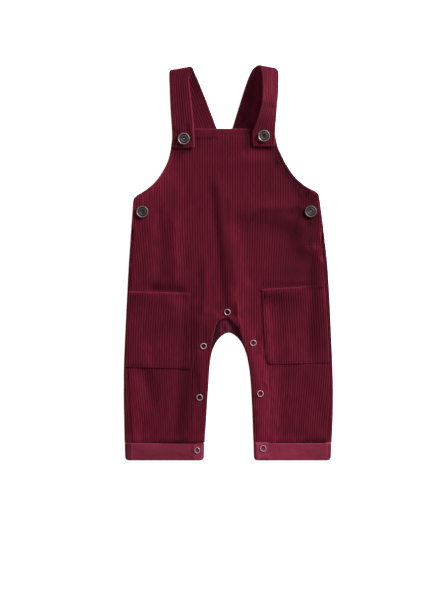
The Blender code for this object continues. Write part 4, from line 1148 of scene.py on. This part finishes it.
# Painted strokes of light and shade past the bends and before them, as on the front
STRAP_LIGHT_AND_SHADE = (
    (2.2, 0.34, 60, 262, 58.5, 232), (1.5, 0.25, 53.8, 260, 53.6, 226), (1.8, 0.16, 66.4, 256, 65.6, 222),
    (2.4, 0.3, 47.6, 236, 46.4, 214, 41, 198), (3.2, -0.28, 44, 217, 60, 214),
    (3, 0.06, 57, 210, 66, 208), (3.4, 0.2, 36.5, 186, 37.5, 164), (3, 0.14, -75, 252, -73, 190),
    (3, -0.14, -63.5, 240, -62, 190), (1.5, 0.5, -53, 250, -49.6, 195, -46.8, 158),
    (2.6, -0.34, -78, 185, -67, 177), (2, 0.2, -48.4, 182, -47.2, 160), (2.6, -0.42, -55, 188, -52, 168),
    (1.8, -0.6, -49.6, 263.5, -51.4, 255), (2.6, 0.3, -69, 163, -62, 159.5),
    (3, 0.34, 38.5, 180, 39, 168, 44, 163.5),
)
STRAP_BACK_LIGHT_AND_SHADE = (
    (9, -0.46, 10, 174, 17, 196), (7, -0.2, 17, 208, 27, 246), (6, 0.8, 33, 196, 39, 226, 43, 262),
    (3, -0.55, -49.5, 263, -47, 250, -42.5, 236), (12, -0.07, -30, 190, -46, 240),
)
STRAP_SHADING_RANGE = (-0.6, 0.9)
# How far either side of the bend its painted shade changes over, and where its back's painted strokes give
# way
SHADING_TURN = 3.0
SHADES_TURN = 4.0
# How wide its edges and its end are worn and painted lighter where they catch the light, and how much
# of that pale colour tints the painted shade inside the fold
WORN_LIT_EDGE = STRAP_ROUND * 0.9
WORN_LIT_END = 1.4
SHADE_TINT_IN_FOLD = 0.3


def bent_over(back_rows, bend, front_rows):
    """Left and right edge points of a strap, up the table, over a flat bend and down to the bib."""
    left_axis = np.array(bend[0:3])
    right_axis = np.array(bend[3:6])
    line = right_axis - left_axis
    outward = np.array((-line[1], line[0], 0.0)) / math.hypot(line[0], line[1])
    rows = [tuple(row) for row in back_rows]
    for step in range(BEND_STEPS + 1):
        angle = math.pi * (step / BEND_STEPS - 0.5)
        turn = outward * math.cos(angle) + np.array((0.0, 0.0, math.sin(angle)))
        rows.append((*(left_axis + turn * bend[6]), *(right_axis + turn * bend[7])))
    return rows + [tuple(row) for row in front_rows]


def strap_places(length, bend_at):
    """How far along a strap its rows of points are, closer together at its bend and its end."""
    return np.unique(np.concatenate((np.arange(0.0, length - END_RUN, STRAP_STEP),
                                     np.linspace(bend_at - BEND_RUN, bend_at + BEND_RUN, BEND_ROWS),
                                     np.linspace(length - END_RUN, length, END_ROWS))))


def round_corner(distance, radius):
    """How far an edge draws in at a distance from its end, to round the corner there."""
    return radius - np.sqrt(radius ** 2 - np.maximum(radius - distance, 0.0) ** 2)


def thinned(distance, rounding):
    """Share of a strap's thickness at a distance from its rounded edge."""
    return np.sqrt(1 - rounding * (1 - np.clip(distance / STRAP_ROUND, 0.0, 1.0)) ** 2)


def tube_faces(rows, columns):
    """Faces of a grid of points whose rows are closed loops."""
    closing = [[i * columns + columns - 1, i * columns, (i + 1) * columns, (i + 2) * columns - 1]
               for i in range(rows - 1)]
    return grid_faces(rows, columns) + closing


def make_strap(name, stations, apex, corners, nap, flat):
    """A double strap with cords on both faces, rounded edges and a rounded, turned-in end.

    Seen from above, its left and right corners at the bend are rounded by the given radii. Its painted
    shade is given for its foot at the back, just before the bend, just after it and at its buttoned end.
    The last value says how flat its cords are painted before the bend, evened out as in the fold's shade.
    """
    stations = np.array(stations)
    middle = (stations[:, :3] + stations[:, 3:]) / 2
    travelled = np.concatenate(([0.0], np.cumsum(np.linalg.norm(np.diff(middle, axis=0), axis=1))))
    length, bend_at = travelled[-1], travelled[apex]
    at = strap_places(length, bend_at)
    table = np.column_stack((travelled, stations)).tolist()
    edges = np.column_stack([along(table, at, column) for column in range(1, 7)])
    left, right = edges[:, :3], edges[:, 3:]
    across = right - left
    width = np.linalg.norm(across, axis=1)[:, None]
    out = np.cross(np.gradient((left + right) / 2, at, axis=0), across)
    out /= np.linalg.norm(out, axis=1)[:, None]
    u = np.arange(STRAP_COLUMNS + 1)[None, :] / STRAP_COLUMNS
    to_end = (length - at)[:, None]
    share = (width - 2 * round_corner(to_end, STRAP_CORNER)) / width
    left_off = np.hypot(*(left[:, :2] - stations[apex, :2]).T)[:, None]
    right_off = np.hypot(*(right[:, :2] - stations[apex, 3:5]).T)[:, None]
    drawn_in = (1 - u) * round_corner(left_off, corners[0]) - u * round_corner(right_off, corners[1])
    spread = 0.5 + (u - 0.5) * share + drawn_in / width
    spots = left[:, None, :] + across[:, None, :] * spread[:, :, None]
    from_side = np.minimum(u, 1 - u) * width
    half = STRAP_HALF * (thinned(from_side, SIDE_ROUNDING) * thinned(to_end, END_ROUNDING))
    wale = u * STRAP_WALES - 0.5
    groove = STRAP_GROOVE * (1 - cord_height(wale)) * np.clip(from_side / STRAP_ROUND, 0.0, 1.0)
    upper = spots + out[:, None, :] * (half - groove)[:, :, None]
    lower = spots - out[:, None, :] * (half - groove)[:, :, None]
    loops = np.concatenate((upper, lower[:, ::-1]), axis=1)
    loops[:, :, 2] = np.maximum(loops[:, :, 2], 0.0)
    rows, columns = loops.shape[:2]
    faces = tube_faces(rows, columns)
    faces.append(list(range(columns))[::-1])
    faces.append([(rows - 1) * columns + i for i in range(columns)])
    # Its edges and end are worn and painted lighter, as they catch the light
    worn = np.clip(1 - from_side / WORN_LIT_EDGE, 0.0, 1.0) + np.clip(1 - to_end / WORN_LIT_END, 0.0, 1.0)
    worn = np.minimum(np.concatenate((worn, worn[:, ::-1]), axis=1), 1.0)
    x, y = loops[:, :, 0], loops[:, :, 1]
    past_bend = ease((at - bend_at) / SHADES_TURN)[:, None]
    # Painted light and shade: a level for each stretch of the strap, then the strokes
    shade = np.interp(at, (0.0, bend_at - SHADING_TURN, bend_at + SHADING_TURN, length), nap)[:, None]
    shade = shade + past_bend * strokes_at(x, y, STRAP_LIGHT_AND_SHADE)
    shade = shade + (1 - past_bend) * strokes_at(x, y, STRAP_BACK_LIGHT_AND_SHADE)
    flat = flat * (1 - past_bend)
    strap = new_piece(name, loops, faces,
                      wale=np.concatenate((wale, wale[:, ::-1] + STRAP_WALES), axis=1) + 0 * x,
                      nap=np.clip(shade, *STRAP_SHADING_RANGE), pressed=flat + 0 * x,
                      rim=np.maximum(worn, SHADE_TINT_IN_FOLD * flat))
    strap.data.set_sharp_from_angle(angle=SMOOTH_ANGLE)
    return strap


strap_cloth = corduroy("strap_corduroy", 0.4)
# Name, stations, the one on the bend, radii of the corners there, painted shade, and how flat the
# cords are painted before the bend, as in the shade of the fold
straps = (
    ("strap_left", bent_over(STRAP_LEFT_BACK, STRAP_LEFT_BEND, STRAP_LEFT_FRONT),
     len(STRAP_LEFT_BACK) + BEND_STEPS // 2, (3.0, 3.2), (-0.10, -0.40, -0.20, -0.20), 0.0),
    ("strap_right", STRAP_RIGHT, STRAP_RIGHT_APEX, (1.8, 6.0), (-0.30, -0.24, -0.32, -0.20), 0.9),
)
for name, stations, apex, corners, nap, flat in straps:
    strap = make_strap(name + "_cloth", stations, apex, corners, nap, flat)
    strap.data.materials.append(strap_cloth)
    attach(strap, "root")
    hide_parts(name)

# --------------------------------------------------------------------------------- The turn-ups
# Each leg's hem is turned up once, so that the corduroy's smooth, lighter inside shows as a band
# round the leg. The placket facing runs through it as a second layer at the inner end, and the
# side seam's allowance makes a low ridge at the outer end.
# Its top edge and foot, its wall, and how high it stands
CUFF_TOP = -246.1
CUFF_BOTTOM = -269.7
CUFF_WALL = 1.5
CUFF_HEIGHT = 8.6
# How far its ends are rounded in at the foot: height, distance
CUFF_CORNER = (
    (CUFF_TOP, 0), (-256, 0.2), (-262, 0.4), (-266, 0.7), (-268.6, 1.9), (CUFF_BOTTOM, 3.4),
)
# Name, ends, placket, side seam, how much lighter it is painted for the stronger light it takes, seed,
# and how far the top edge rises or dips: x, height
CUFFS = (
    ("cuff_left", (-141.8, -32.9), -48.9, -132.8, 1.0, 4,
     ((-131.0, 0.0), (-100.0, -0.5), (-62.0, -1.3), (-46.0, -1.4), (-39.5, 0.0), (-33.0, 0.0))),
    ("cuff_right", (34.0, 140.6), 55.3, 134.1, 1.12, 9,
     ((52.0, 1.0), (57.0, -0.3), (131.0, -0.3), (135.0, 1.1))),
)
# Colours of the weave, the placket's second layer, beyond the side seam, and at the top edge, worn
# and painted lighter where the fold catches the light
SMOOTH = (0.172, 0.0150, 0.0388, 1.0)
SMOOTH_LAYER = (0.215, 0.0205, 0.0510, 1.0)
SMOOTH_SIDE = (0.105, 0.0095, 0.0225, 1.0)
SMOOTH_WORN_LIT_EDGE = (0.300, 0.0540, 0.1040, 1.0)
# Painted strokes of light and shade on both, as on the front
CUFF_SHADES = (
    (3, 0.12, -100, -248.8, -75, -249), (1.8, -0.18, 104, -248.4, 131, -248.4),
    (0.9, 0.22, -132.6, -247, -132.2, -268), (1.3, -0.24, -134.8, -247, -134.2, -268),
    (2.6, -0.2, -138.8, -247, -137.4, -268), (4.5, -0.1, -120, -262.5, -60, -262),
    (2, 0.12, -86, -252, -58, -259), (1.8, 0.1, -72, -250, -54, -254),
    (0.9, -0.32, -49.5, -247, -49.7, -268.5), (4, 0.26, -46, -263, -38, -265),
    (1.4, -0.22, -48, -247.8, -37, -247.8), (0.9, -0.5, -41, -246.6, -34, -246.8),
    (1.1, -0.4, -141, -269.2, -34, -269.4), (2.4, -0.42, 34.6, -247, 37.2, -266),
    (3.6, 0.2, 41, -249, 44, -263), (0.9, -0.34, 54.6, -247, 54.8, -260),
    (1.8, 0.1, 58.4, -249, 57.6, -264), (1.5, -0.16, 67.5, -247, 69, -258),
    (2.4, 0.08, 74, -247, 75, -262), (5, -0.12, 98, -262, 125, -263), (2.6, 0.12, 86, -255, 104, -259),
    (1.1, 0.6, 134.6, -247, 133.8, -268), (1.6, -0.34, 137.6, -248, 137, -266),
    (2.2, -0.62, 44.5, -268.2, 53, -268.2), (1.1, -0.34, 36, -269.4, 139, -269.4),
)
# Columns of points along a straight side and round an end, and rows down, round and up inside it
CUFF_STRAIGHT = 110
CUFF_END = 12
CUFF_STEP = 1.2
FOLD_ROWS = 7
INNER_ROWS = 8
# Its top edge turns over: height, how far in. It is worn and painted lighter over the next stretch
# below that, where its fold catches the light
CUFF_LIP = ((CUFF_TOP + 0.25, 0.9), (CUFF_TOP + 0.15, 0.35))
CUFF_WORN_LIT = 1.3
# Relief of its upper face: the placket's second layer, the seam's ridge, the slack between them,
# how far all of it is let in, how wide the layer's edge and the ridge are, and the slack's waves
LAYER_LIFT = 0.35
RIDGE_LIFT = 0.35
SLACK_LIFT = 0.28
LET_IN = 0.3
LAYER_EDGE = 0.7
RIDGE_HALF = 1.1
SLACK_WAVES = 5
# The colours of the layer and of the cloth beyond the seam fade in over these
LAYER_FADE = 0.6
SIDE_FADE = 1.5
# The cloth is held down beside the placket, so far in from its edge and so wide
HELD_IN = 6.0
HELD_HALF = 7.0


def turn_up_loop(left, right, low, high):
    """A flattened ring in x and z: right end, top from right to left, left end, bottom."""
    radius = (high - low) / 2
    angle = np.linspace(-math.pi / 2, math.pi / 2, CUFF_END, endpoint=False)
    run = np.linspace(0.0, 1.0, CUFF_STRAIGHT, endpoint=False)
    span = right - left - 2 * radius
    x = np.concatenate((right - radius + radius * np.cos(angle), right - radius - span * run,
                        left + radius - radius * np.cos(angle), left + radius + span * run))
    z = np.concatenate((low + radius + radius * np.sin(angle), np.full(CUFF_STRAIGHT, high),
                        low + radius - radius * np.sin(angle), np.full(CUFF_STRAIGHT, low)))
    return x, z


def turn_up_profile():
    """Height and inset of a turn-up's rings: down its outer face, round the fold and up inside it."""
    fold_from = CUFF_BOTTOM + CUFF_WALL / 2
    profile = list(CUFF_LIP)
    profile += [(y, 0.0) for y in np.arange(CUFF_TOP, fold_from, -CUFF_STEP)[1:]]
    for angle in np.linspace(0.0, math.pi, FOLD_ROWS):
        profile.append((CUFF_BOTTOM + CUFF_WALL / 2 * (1 - math.sin(angle)),
                        CUFF_WALL / 2 * (1 - math.cos(angle))))
    inner_rows = np.linspace(fold_from, CUFF_TOP + 0.1, INNER_ROWS)[1:]
    return profile + [(y, CUFF_WALL) for y in inner_rows]


def make_turn_up(name, ends, placket, side_seam, seed, top_line):
    """A turned-up hem: a flattened ring round the leg, folded at the foot and free at its top edge.

    The placket's second layer reaches from the given x to the ring's inner end.
    """
    random = np.random.default_rng(seed)
    waves = [(random.uniform(0.02, 0.06), random.uniform(0, math.tau), random.uniform(0.4, 1.0))
             for _ in range(SLACK_WAVES)]
    middle = (ends[0] + ends[1]) / 2
    inner = 1 if placket > middle else -1
    rings = []
    for y, inset in turn_up_profile():
        corner = float(along(CUFF_CORNER, y, 1))
        x, z = turn_up_loop(ends[0] + inset + corner, ends[1] - inset - corner, inset, CUFF_HEIGHT - inset)
        upper = ease((z - CUFF_HEIGHT / 2) / (CUFF_HEIGHT / 2 - inset - 0.2))
        if inset < CUFF_WALL:
            layer = ease(inner * (x - placket) / LAYER_EDGE)
            ridge = np.exp(-((x - side_seam) / RIDGE_HALF) ** 2)
            slack = sum(size * np.sin(x * rate * math.tau / 3 + start + y * rate * 0.9)
                        for rate, start, size in waves) / SLACK_WAVES
            slack = slack * (1 - np.exp(-((x - (placket - inner * HELD_IN)) / HELD_HALF) ** 2))
            z = z + upper * (LAYER_LIFT * layer + RIDGE_LIFT * ridge + SLACK_LIFT * slack - LET_IN)
        height = (y - CUFF_BOTTOM) / (CUFF_TOP - CUFF_BOTTOM)
        rings.append(np.stack((x, y + height * np.interp(x, *np.array(top_line).T), z), axis=-1))
    rings = np.array(rings)
    rows, columns = rings.shape[:2]
    last = (rows - 1) * columns
    faces = tube_faces(rows, columns)
    faces += [[last + i, last + (i + 1) % columns, (i + 1) % columns, i] for i in range(columns)]
    x, y = rings[:, :, 0], rings[:, :, 1]
    # The top edge is marked for its worn colour and painted light
    rim = np.clip(1 - (CUFF_LIP[0][0] - y) / CUFF_WORN_LIT, 0.0, 1.0)
    strip = ease(inner * (x - placket) / LAYER_FADE + 0.5)
    side = ease((np.abs(x - middle) - abs(side_seam - middle)) / SIDE_FADE + 0.5)
    cuff = new_piece(name, rings, faces, rim=rim, strip=strip, side=side * (1 - strip))
    cuff.data.set_sharp_from_angle(angle=SMOOTH_ANGLE)
    return cuff


def smooth_side(name, painted_lightness):
    """The corduroy's close, smooth cotton wrong side, faintly ribbed, lighter burgundy, with painted
    light.
    """
    cloth = Finish(name)
    weave = cloth.noise(cloth.place((1500.0, 1100.0, 1500.0)), 2.0, 0.7)
    ribs = cloth.noise(cloth.place((330.0, 20.0, 20.0)), 2.0)
    clouds = cloth.noise(cloth.place((24.0, 60.0, 24.0)), 3.0, 0.6)
    colour = cloth.mix(cloth.value("strip"), SMOOTH, SMOOTH_LAYER)
    colour = cloth.mix(cloth.value("side") * 0.5, colour, SMOOTH_SIDE)
    colour = cloth.mix(cloth.value("rim") * 0.35, colour, SMOOTH_WORN_LIT_EDGE)
    uneven = 1.0 + weave * 0.14 + ribs * 0.10 + clouds * 0.55
    # Painted strokes and a lighter level for the better-lit turn-up scale the colour
    colour = cloth.scaled(colour, uneven * (1.0 + cloth.value("nap")) * painted_lightness)
    return cloth.surface(Base_Color=colour, Roughness=0.88, Sheen_Weight=0.25, Sheen_Roughness=0.5,
                         Sheen_Tint=PILE_SHEEN, Specular_IOR_Level=0.15,
                         Normal=cloth.bump(weave * 0.7 + ribs * 0.5, 0.00025, 0.5))


for name, ends, placket, side_seam, painted_lightness, seed, top_line in CUFFS:
    cuff = make_turn_up(name + "_cloth", ends, placket, side_seam, seed, top_line)
    paint_light_and_shade(cuff, CUFF_SHADES)
    cuff.data.materials.append(smooth_side(name + "_smooth_side", painted_lightness))
    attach(cuff, "root")
    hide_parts(name)

# ---------------------------------------------------------------------------------- The buttons
# Four metal shank buttons with a dark antique finish: a dished cap with a worn, raised rim, a low
# ring inside it and a nail head in a pit at the centre. Two hold the straps on the bib, two close
# the side openings at the hips.
BUTTON_DIAMETER = 16.5
BUTTON_RIM = BUTTON_DIAMETER / 2
BUTTON_SEGMENTS = 64
BIB_BUTTONS = (("button_bib_left", -61.0, 169.1), ("button_bib_right", 48.3, 173.0))
SIDE_BUTTONS = (("button_side_left", -117.6, 69.6), ("button_side_right", 112.1, 70.0))
# How deep a button sits in the pile
BUTTON_SINK = 0.7
# The nail head's radius, and how pale it is on each button, from wear and a painted glint; a negative
# value paints it dark as shade in its pit
NAIL_HEAD = 0.7
NAIL_WEAR_AND_GLINT = {"button_bib_left": 1.0, "button_bib_right": -0.9, "button_side_left": 0.3,
             "button_side_right": 0.6}
# How much of the profile's wear and painted shade a button shows, where that isn't all of it
WEAR_AND_SHADE_SHARE = {"button_bib_right": 1.12, "button_side_left": 0.90, "button_side_right": 0.45}
CENTRE_WELD = 0.01
# Dark plating, and where it is worn through
GUNMETAL = (0.034, 0.030, 0.029, 1.0)
GUNMETAL_WORN = (0.31, 0.245, 0.245, 1.0)
# From the centre of the face outwards and down to the foot: radius, height, how worn it is; a
# negative value paints the pit and grooves darker as shade
BUTTON_PROFILE = (
    (0, 2.75, 0.35), (0.35, 2.72, 0.3), (0.65, 2.55, 0), (0.9, 2.35, -0.7), (1.4, 2.2, -0.85),
    (1.9, 2.3, -0.85), (2.2, 2.75, -0.6), (2.45, 3.05, 0.1), (2.8, 3.12, 0.12), (3.5, 3.1, 0.05),
    (4.1, 3.2, 0.1), (4.4, 3.35, 0.26), (4.7, 3.25, 0.1), (5, 3.1, -0.1), (5.6, 3.02, -0.2),
    (6.1, 3.05, -0.3), (6.4, 3.35, 0), (6.65, 3.75, 0.4), (6.85, 4, 0.95), (7.1, 4.16, 1),
    (7.35, 4.2, 0.95), (7.6, 4.1, 0.45), (7.9, 3.85, 0.12), (8.15, 3.5, 0.05), (BUTTON_RIM, 3.1, 0),
    (8.15, 2.75, 0), (7.8, 2.5, 0), (7, 2.35, 0), (5, 2.1, 0), (3.4, 1.8, 0), (3.2, 1.5, 0),
    (3.2, 0.1, 0), (3, 0, 0), (0, 0, 0),
)


def turned(name, profile, segments):
    """A turned piece from radius, height, and the wear and painted light along its profile."""
    radius, height, worn = np.array(profile).T
    angle = np.arange(segments) * math.tau / segments
    points = np.stack((radius[:, None] * np.cos(angle), radius[:, None] * np.sin(angle),
                       height[:, None] + 0 * angle), axis=-1)
    rows = len(profile)
    faces = [[i * segments + j, (i + 1) * segments + j,
              (i + 1) * segments + (j + 1) % segments, i * segments + (j + 1) % segments]
             for i in range(rows - 1) for j in range(segments)]
    piece = new_piece(name, points, faces, worn=np.repeat(worn, segments))
    weld = piece.modifiers.new("closed at the centre", "WELD")
    weld.merge_threshold = CENTRE_WELD * MM
    return piece


def seat(piece, x, y, radius, surface, sink=0.0):
    """Lay a round piece on a surface, tilted with it, clear of its highest cord or sunk into it."""
    slope_x = float(surface(x + radius, y) - surface(x - radius, y)) / (2 * radius)
    slope_y = float(surface(x, y + radius) - surface(x, y - radius)) / (2 * radius)
    angle = np.arange(12) * math.tau / 12
    dx, dy = radius * np.cos(angle), radius * np.sin(angle)
    over = surface(x + dx, y + dy) - slope_x * dx - slope_y * dy
    height = max(float(surface(x, y)), float(np.max(over)))
    normal = Vector((-slope_x, -slope_y, 1.0)).normalized()
    piece.location = (Vector((x, y, height)) + normal * (SEAM_GAP - sink)) * MM
    piece.rotation_euler = normal.to_track_quat("Z", "Y").to_euler()


def antique_metal():
    """Dark gunmetal, worn pale and a little warm on the raised rings, painted dark as shade in hollows."""
    metal = Finish("antique_gunmetal")
    scuffs = metal.noise(metal.place((900.0, 900.0, 900.0)), 4.0, 0.7)
    blotches = metal.noise(metal.place((260.0, 260.0, 260.0)), 2.0)
    worn = metal.value("worn")
    bare = (worn * (1.0 + scuffs * 0.35) + blotches * 0.05).clip()
    # A negative value paints the pit and grooves darker, as their shade
    colour = metal.scaled(metal.mix(bare, GUNMETAL, GUNMETAL_WORN), 1.0 - (0.0 - worn).clip())
    return metal.surface(Base_Color=colour, Metallic=0.7, Roughness=0.52 - bare * 0.04 + scuffs * 0.06,
                         Normal=metal.bump(scuffs, 0.00005, 0.4))


def strap_pile(x, y):
    """Height of the straps' upper face where they are buttoned."""
    return STRAP_LEFT_FRONT[-1][2] + STRAP_HALF + 0.0 * x


gunmetal = antique_metal()
for name, x, y in BIB_BUTTONS + SIDE_BUTTONS:
    wear_and_shade_share = WEAR_AND_SHADE_SHARE.get(name, 1.0)
    profile = [(radius, height, worn * wear_and_shade_share if radius > NAIL_HEAD else NAIL_WEAR_AND_GLINT[name])
               for radius, height, worn in BUTTON_PROFILE]
    button = turned(name + "_metal", profile, BUTTON_SEGMENTS)
    if (name, x, y) in BIB_BUTTONS:
        seat(button, x, y, BUTTON_RIM, strap_pile, BUTTON_SINK)
    else:
        seat(button, x, y, BUTTON_RIM / 2, front_top, BUTTON_SINK)
    button.data.materials.append(gunmetal)
    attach(button, "root")
    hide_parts(name)

# ------------------------------------------------------------------------------------ The snaps
# Seven ring snaps with open centres: pale nickel rings whose prongs go through the cloth. One is
# at the crotch, two are down each leg's placket and one is on each turn-up.
SNAP_DIAMETER = 8.6
SNAP_SEGMENTS = 40
LEG_SNAPS = (
    ("snap_crotch", -1.4, -67.3),
    ("snap_left_top", -34.3, -113.7),
    ("snap_left_middle", -39.6, -183.7),
    ("snap_right_top", 33.8, -109.4),
    ("snap_right_middle", 43.3, -178.5),
)
CUFF_SNAPS = (("snap_left_cuff", -42.7, -255.8), ("snap_right_cuff", 47.4, -253.3))
# Some rings are pressed a little narrower
RING_WIDTH = {"snap_left_cuff": 0.84, "snap_left_top": 0.93, "snap_right_top": 0.95}
# The nickel painted darker down its sides and underneath as shade, and bare nickel on top
NICKEL_PAINTED_SHADE = (0.16, 0.11, 0.12, 1.0)
NICKEL = (0.64, 0.53, 0.55, 1.0)
# Round the ring's own section: radius, height, and how much bare nickel shows, less where its sides
# are painted in shade
SNAP_PROFILE = (
    (3.35, 0.1, 0.1), (3.38, 0.5, 0.4), (3.48, 0.85, 0.8), (3.65, 1.05, 1), (3.85, 1.1, 1),
    (4.02, 0.98, 0.9), (4.2, 0.7, 0.5), (4.3, 0.3, 0.2), (4.3, 0, 0), (3.9, -0.05, 0), (3.5, -0.05, 0),
    (3.35, 0.1, 0.1),
)


def nickel_plating():
    """Pale nickel, softly brushed, painted darker down its sides as shade."""
    metal = Finish("pale_nickel")
    scuffs = metal.noise(metal.place((1500.0, 1500.0, 1500.0)), 3.0, 0.7)
    bare = (metal.value("worn") + scuffs * 0.12).clip()
    colour = metal.mix(bare, NICKEL_PAINTED_SHADE, NICKEL)
    return metal.surface(Base_Color=colour, Metallic=0.55, Roughness=0.58 + scuffs * 0.06,
                         Normal=metal.bump(scuffs, 0.00003, 0.3))


def cuff_face(x, y):
    """Height of the turn-ups' upper face."""
    return CUFF_HEIGHT + 0.0 * x


nickel = nickel_plating()
for name, x, y in LEG_SNAPS + CUFF_SNAPS:
    ring = turned(name + "_ring", SNAP_PROFILE, SNAP_SEGMENTS)
    ring.scale.x = RING_WIDTH.get(name, 1.0)
    seat(ring, x, y, SNAP_DIAMETER / 2, cuff_face if (name, x, y) in CUFF_SNAPS else front_top)
    ring.data.materials.append(nickel)
    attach(ring, "root")
    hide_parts(name)

# ------------------------------------------------------------------------- The table and lights
# A plain, nearly white table top under a broad soft light from the upper right, with a weaker
# fill all round, seen from straight above.

# The table top's size and how far it lies below the cloth, in metres
FLOOR_SIZE = 24.0
FLOOR_DROP = 0.0004
TABLE_WHITE = (0.92, 0.92, 0.92, 1.0)
TABLE_GLOW = 0.80
ROOM_LIGHT = 0.24
# Name, place and size in metres, power in watts
LAMPS = (
    ("key_light", (1.20, 1.03, 0.82), 0.6, 62.0),
    ("fill_light", (-1.2, -0.4, 1.8), 1.6, 5.0),
)
LAMPS_AIM = Vector((0.0, -0.03, 0.0))
# The camera's place, its distance above the cloth's upper side, the height it sees, and its sensor
CAMERA_SPOT = (-21.2, -50.8)
CAMERA_DISTANCE = 3000.0
CLOTH_LEVEL = 6.0
SEEN_HEIGHT = 819.2
SENSOR = 36.0

floor = new_piece("table_top", ((-0.5, -0.5, 0.0), (0.5, -0.5, 0.0), (0.5, 0.5, 0.0), (-0.5, 0.5, 0.0)),
                  [[0, 1, 2, 3]])
floor.scale = (FLOOR_SIZE / MM, FLOOR_SIZE / MM, 1.0)
floor.location.z = -FLOOR_DROP
table = Finish("pale_table")
grain = table.noise(table.place((3.0, 3.0, 3.0)), 2.0)
floor.data.materials.append(table.surface(
    Base_Color=table.scaled(TABLE_WHITE, 1.0 + grain * 0.01), Roughness=0.9,
    Emission_Color=(1.0, 1.0, 1.0, 1.0), Emission_Strength=TABLE_GLOW, Specular_IOR_Level=0.1))

world = bpy.data.worlds.new("soft_studio")
world.use_nodes = True
room = world.node_tree.nodes["Background"]
room.inputs["Color"].default_value = (1.0, 1.0, 1.0, 1.0)
room.inputs["Strength"].default_value = ROOM_LIGHT
bpy.context.scene.world = world

for name, spot, size, power in LAMPS:
    lamp = bpy.data.lights.new(name, "AREA")
    lamp.size = size
    lamp.energy = power
    holder = bpy.data.objects.new(name, lamp)
    holder.location = spot
    holder.rotation_euler = (Vector(spot) - LAMPS_AIM).to_track_quat("Z", "Y").to_euler()
    bpy.context.scene.collection.objects.link(holder)

lens = bpy.data.cameras.new("camera")
lens.sensor_width = SENSOR
lens.lens = SENSOR * CAMERA_DISTANCE / SEEN_HEIGHT
lens.clip_end = 100.0
camera = bpy.data.objects.new("camera", lens)
camera.location = (CAMERA_SPOT[0] * MM, CAMERA_SPOT[1] * MM, (CAMERA_DISTANCE + CLOTH_LEVEL) * MM)
bpy.context.scene.collection.objects.link(camera)
bpy.context.scene.camera = camera
bpy.context.scene.view_settings.view_transform = "Standard"
bpy.context.scene.view_settings.look = "None"
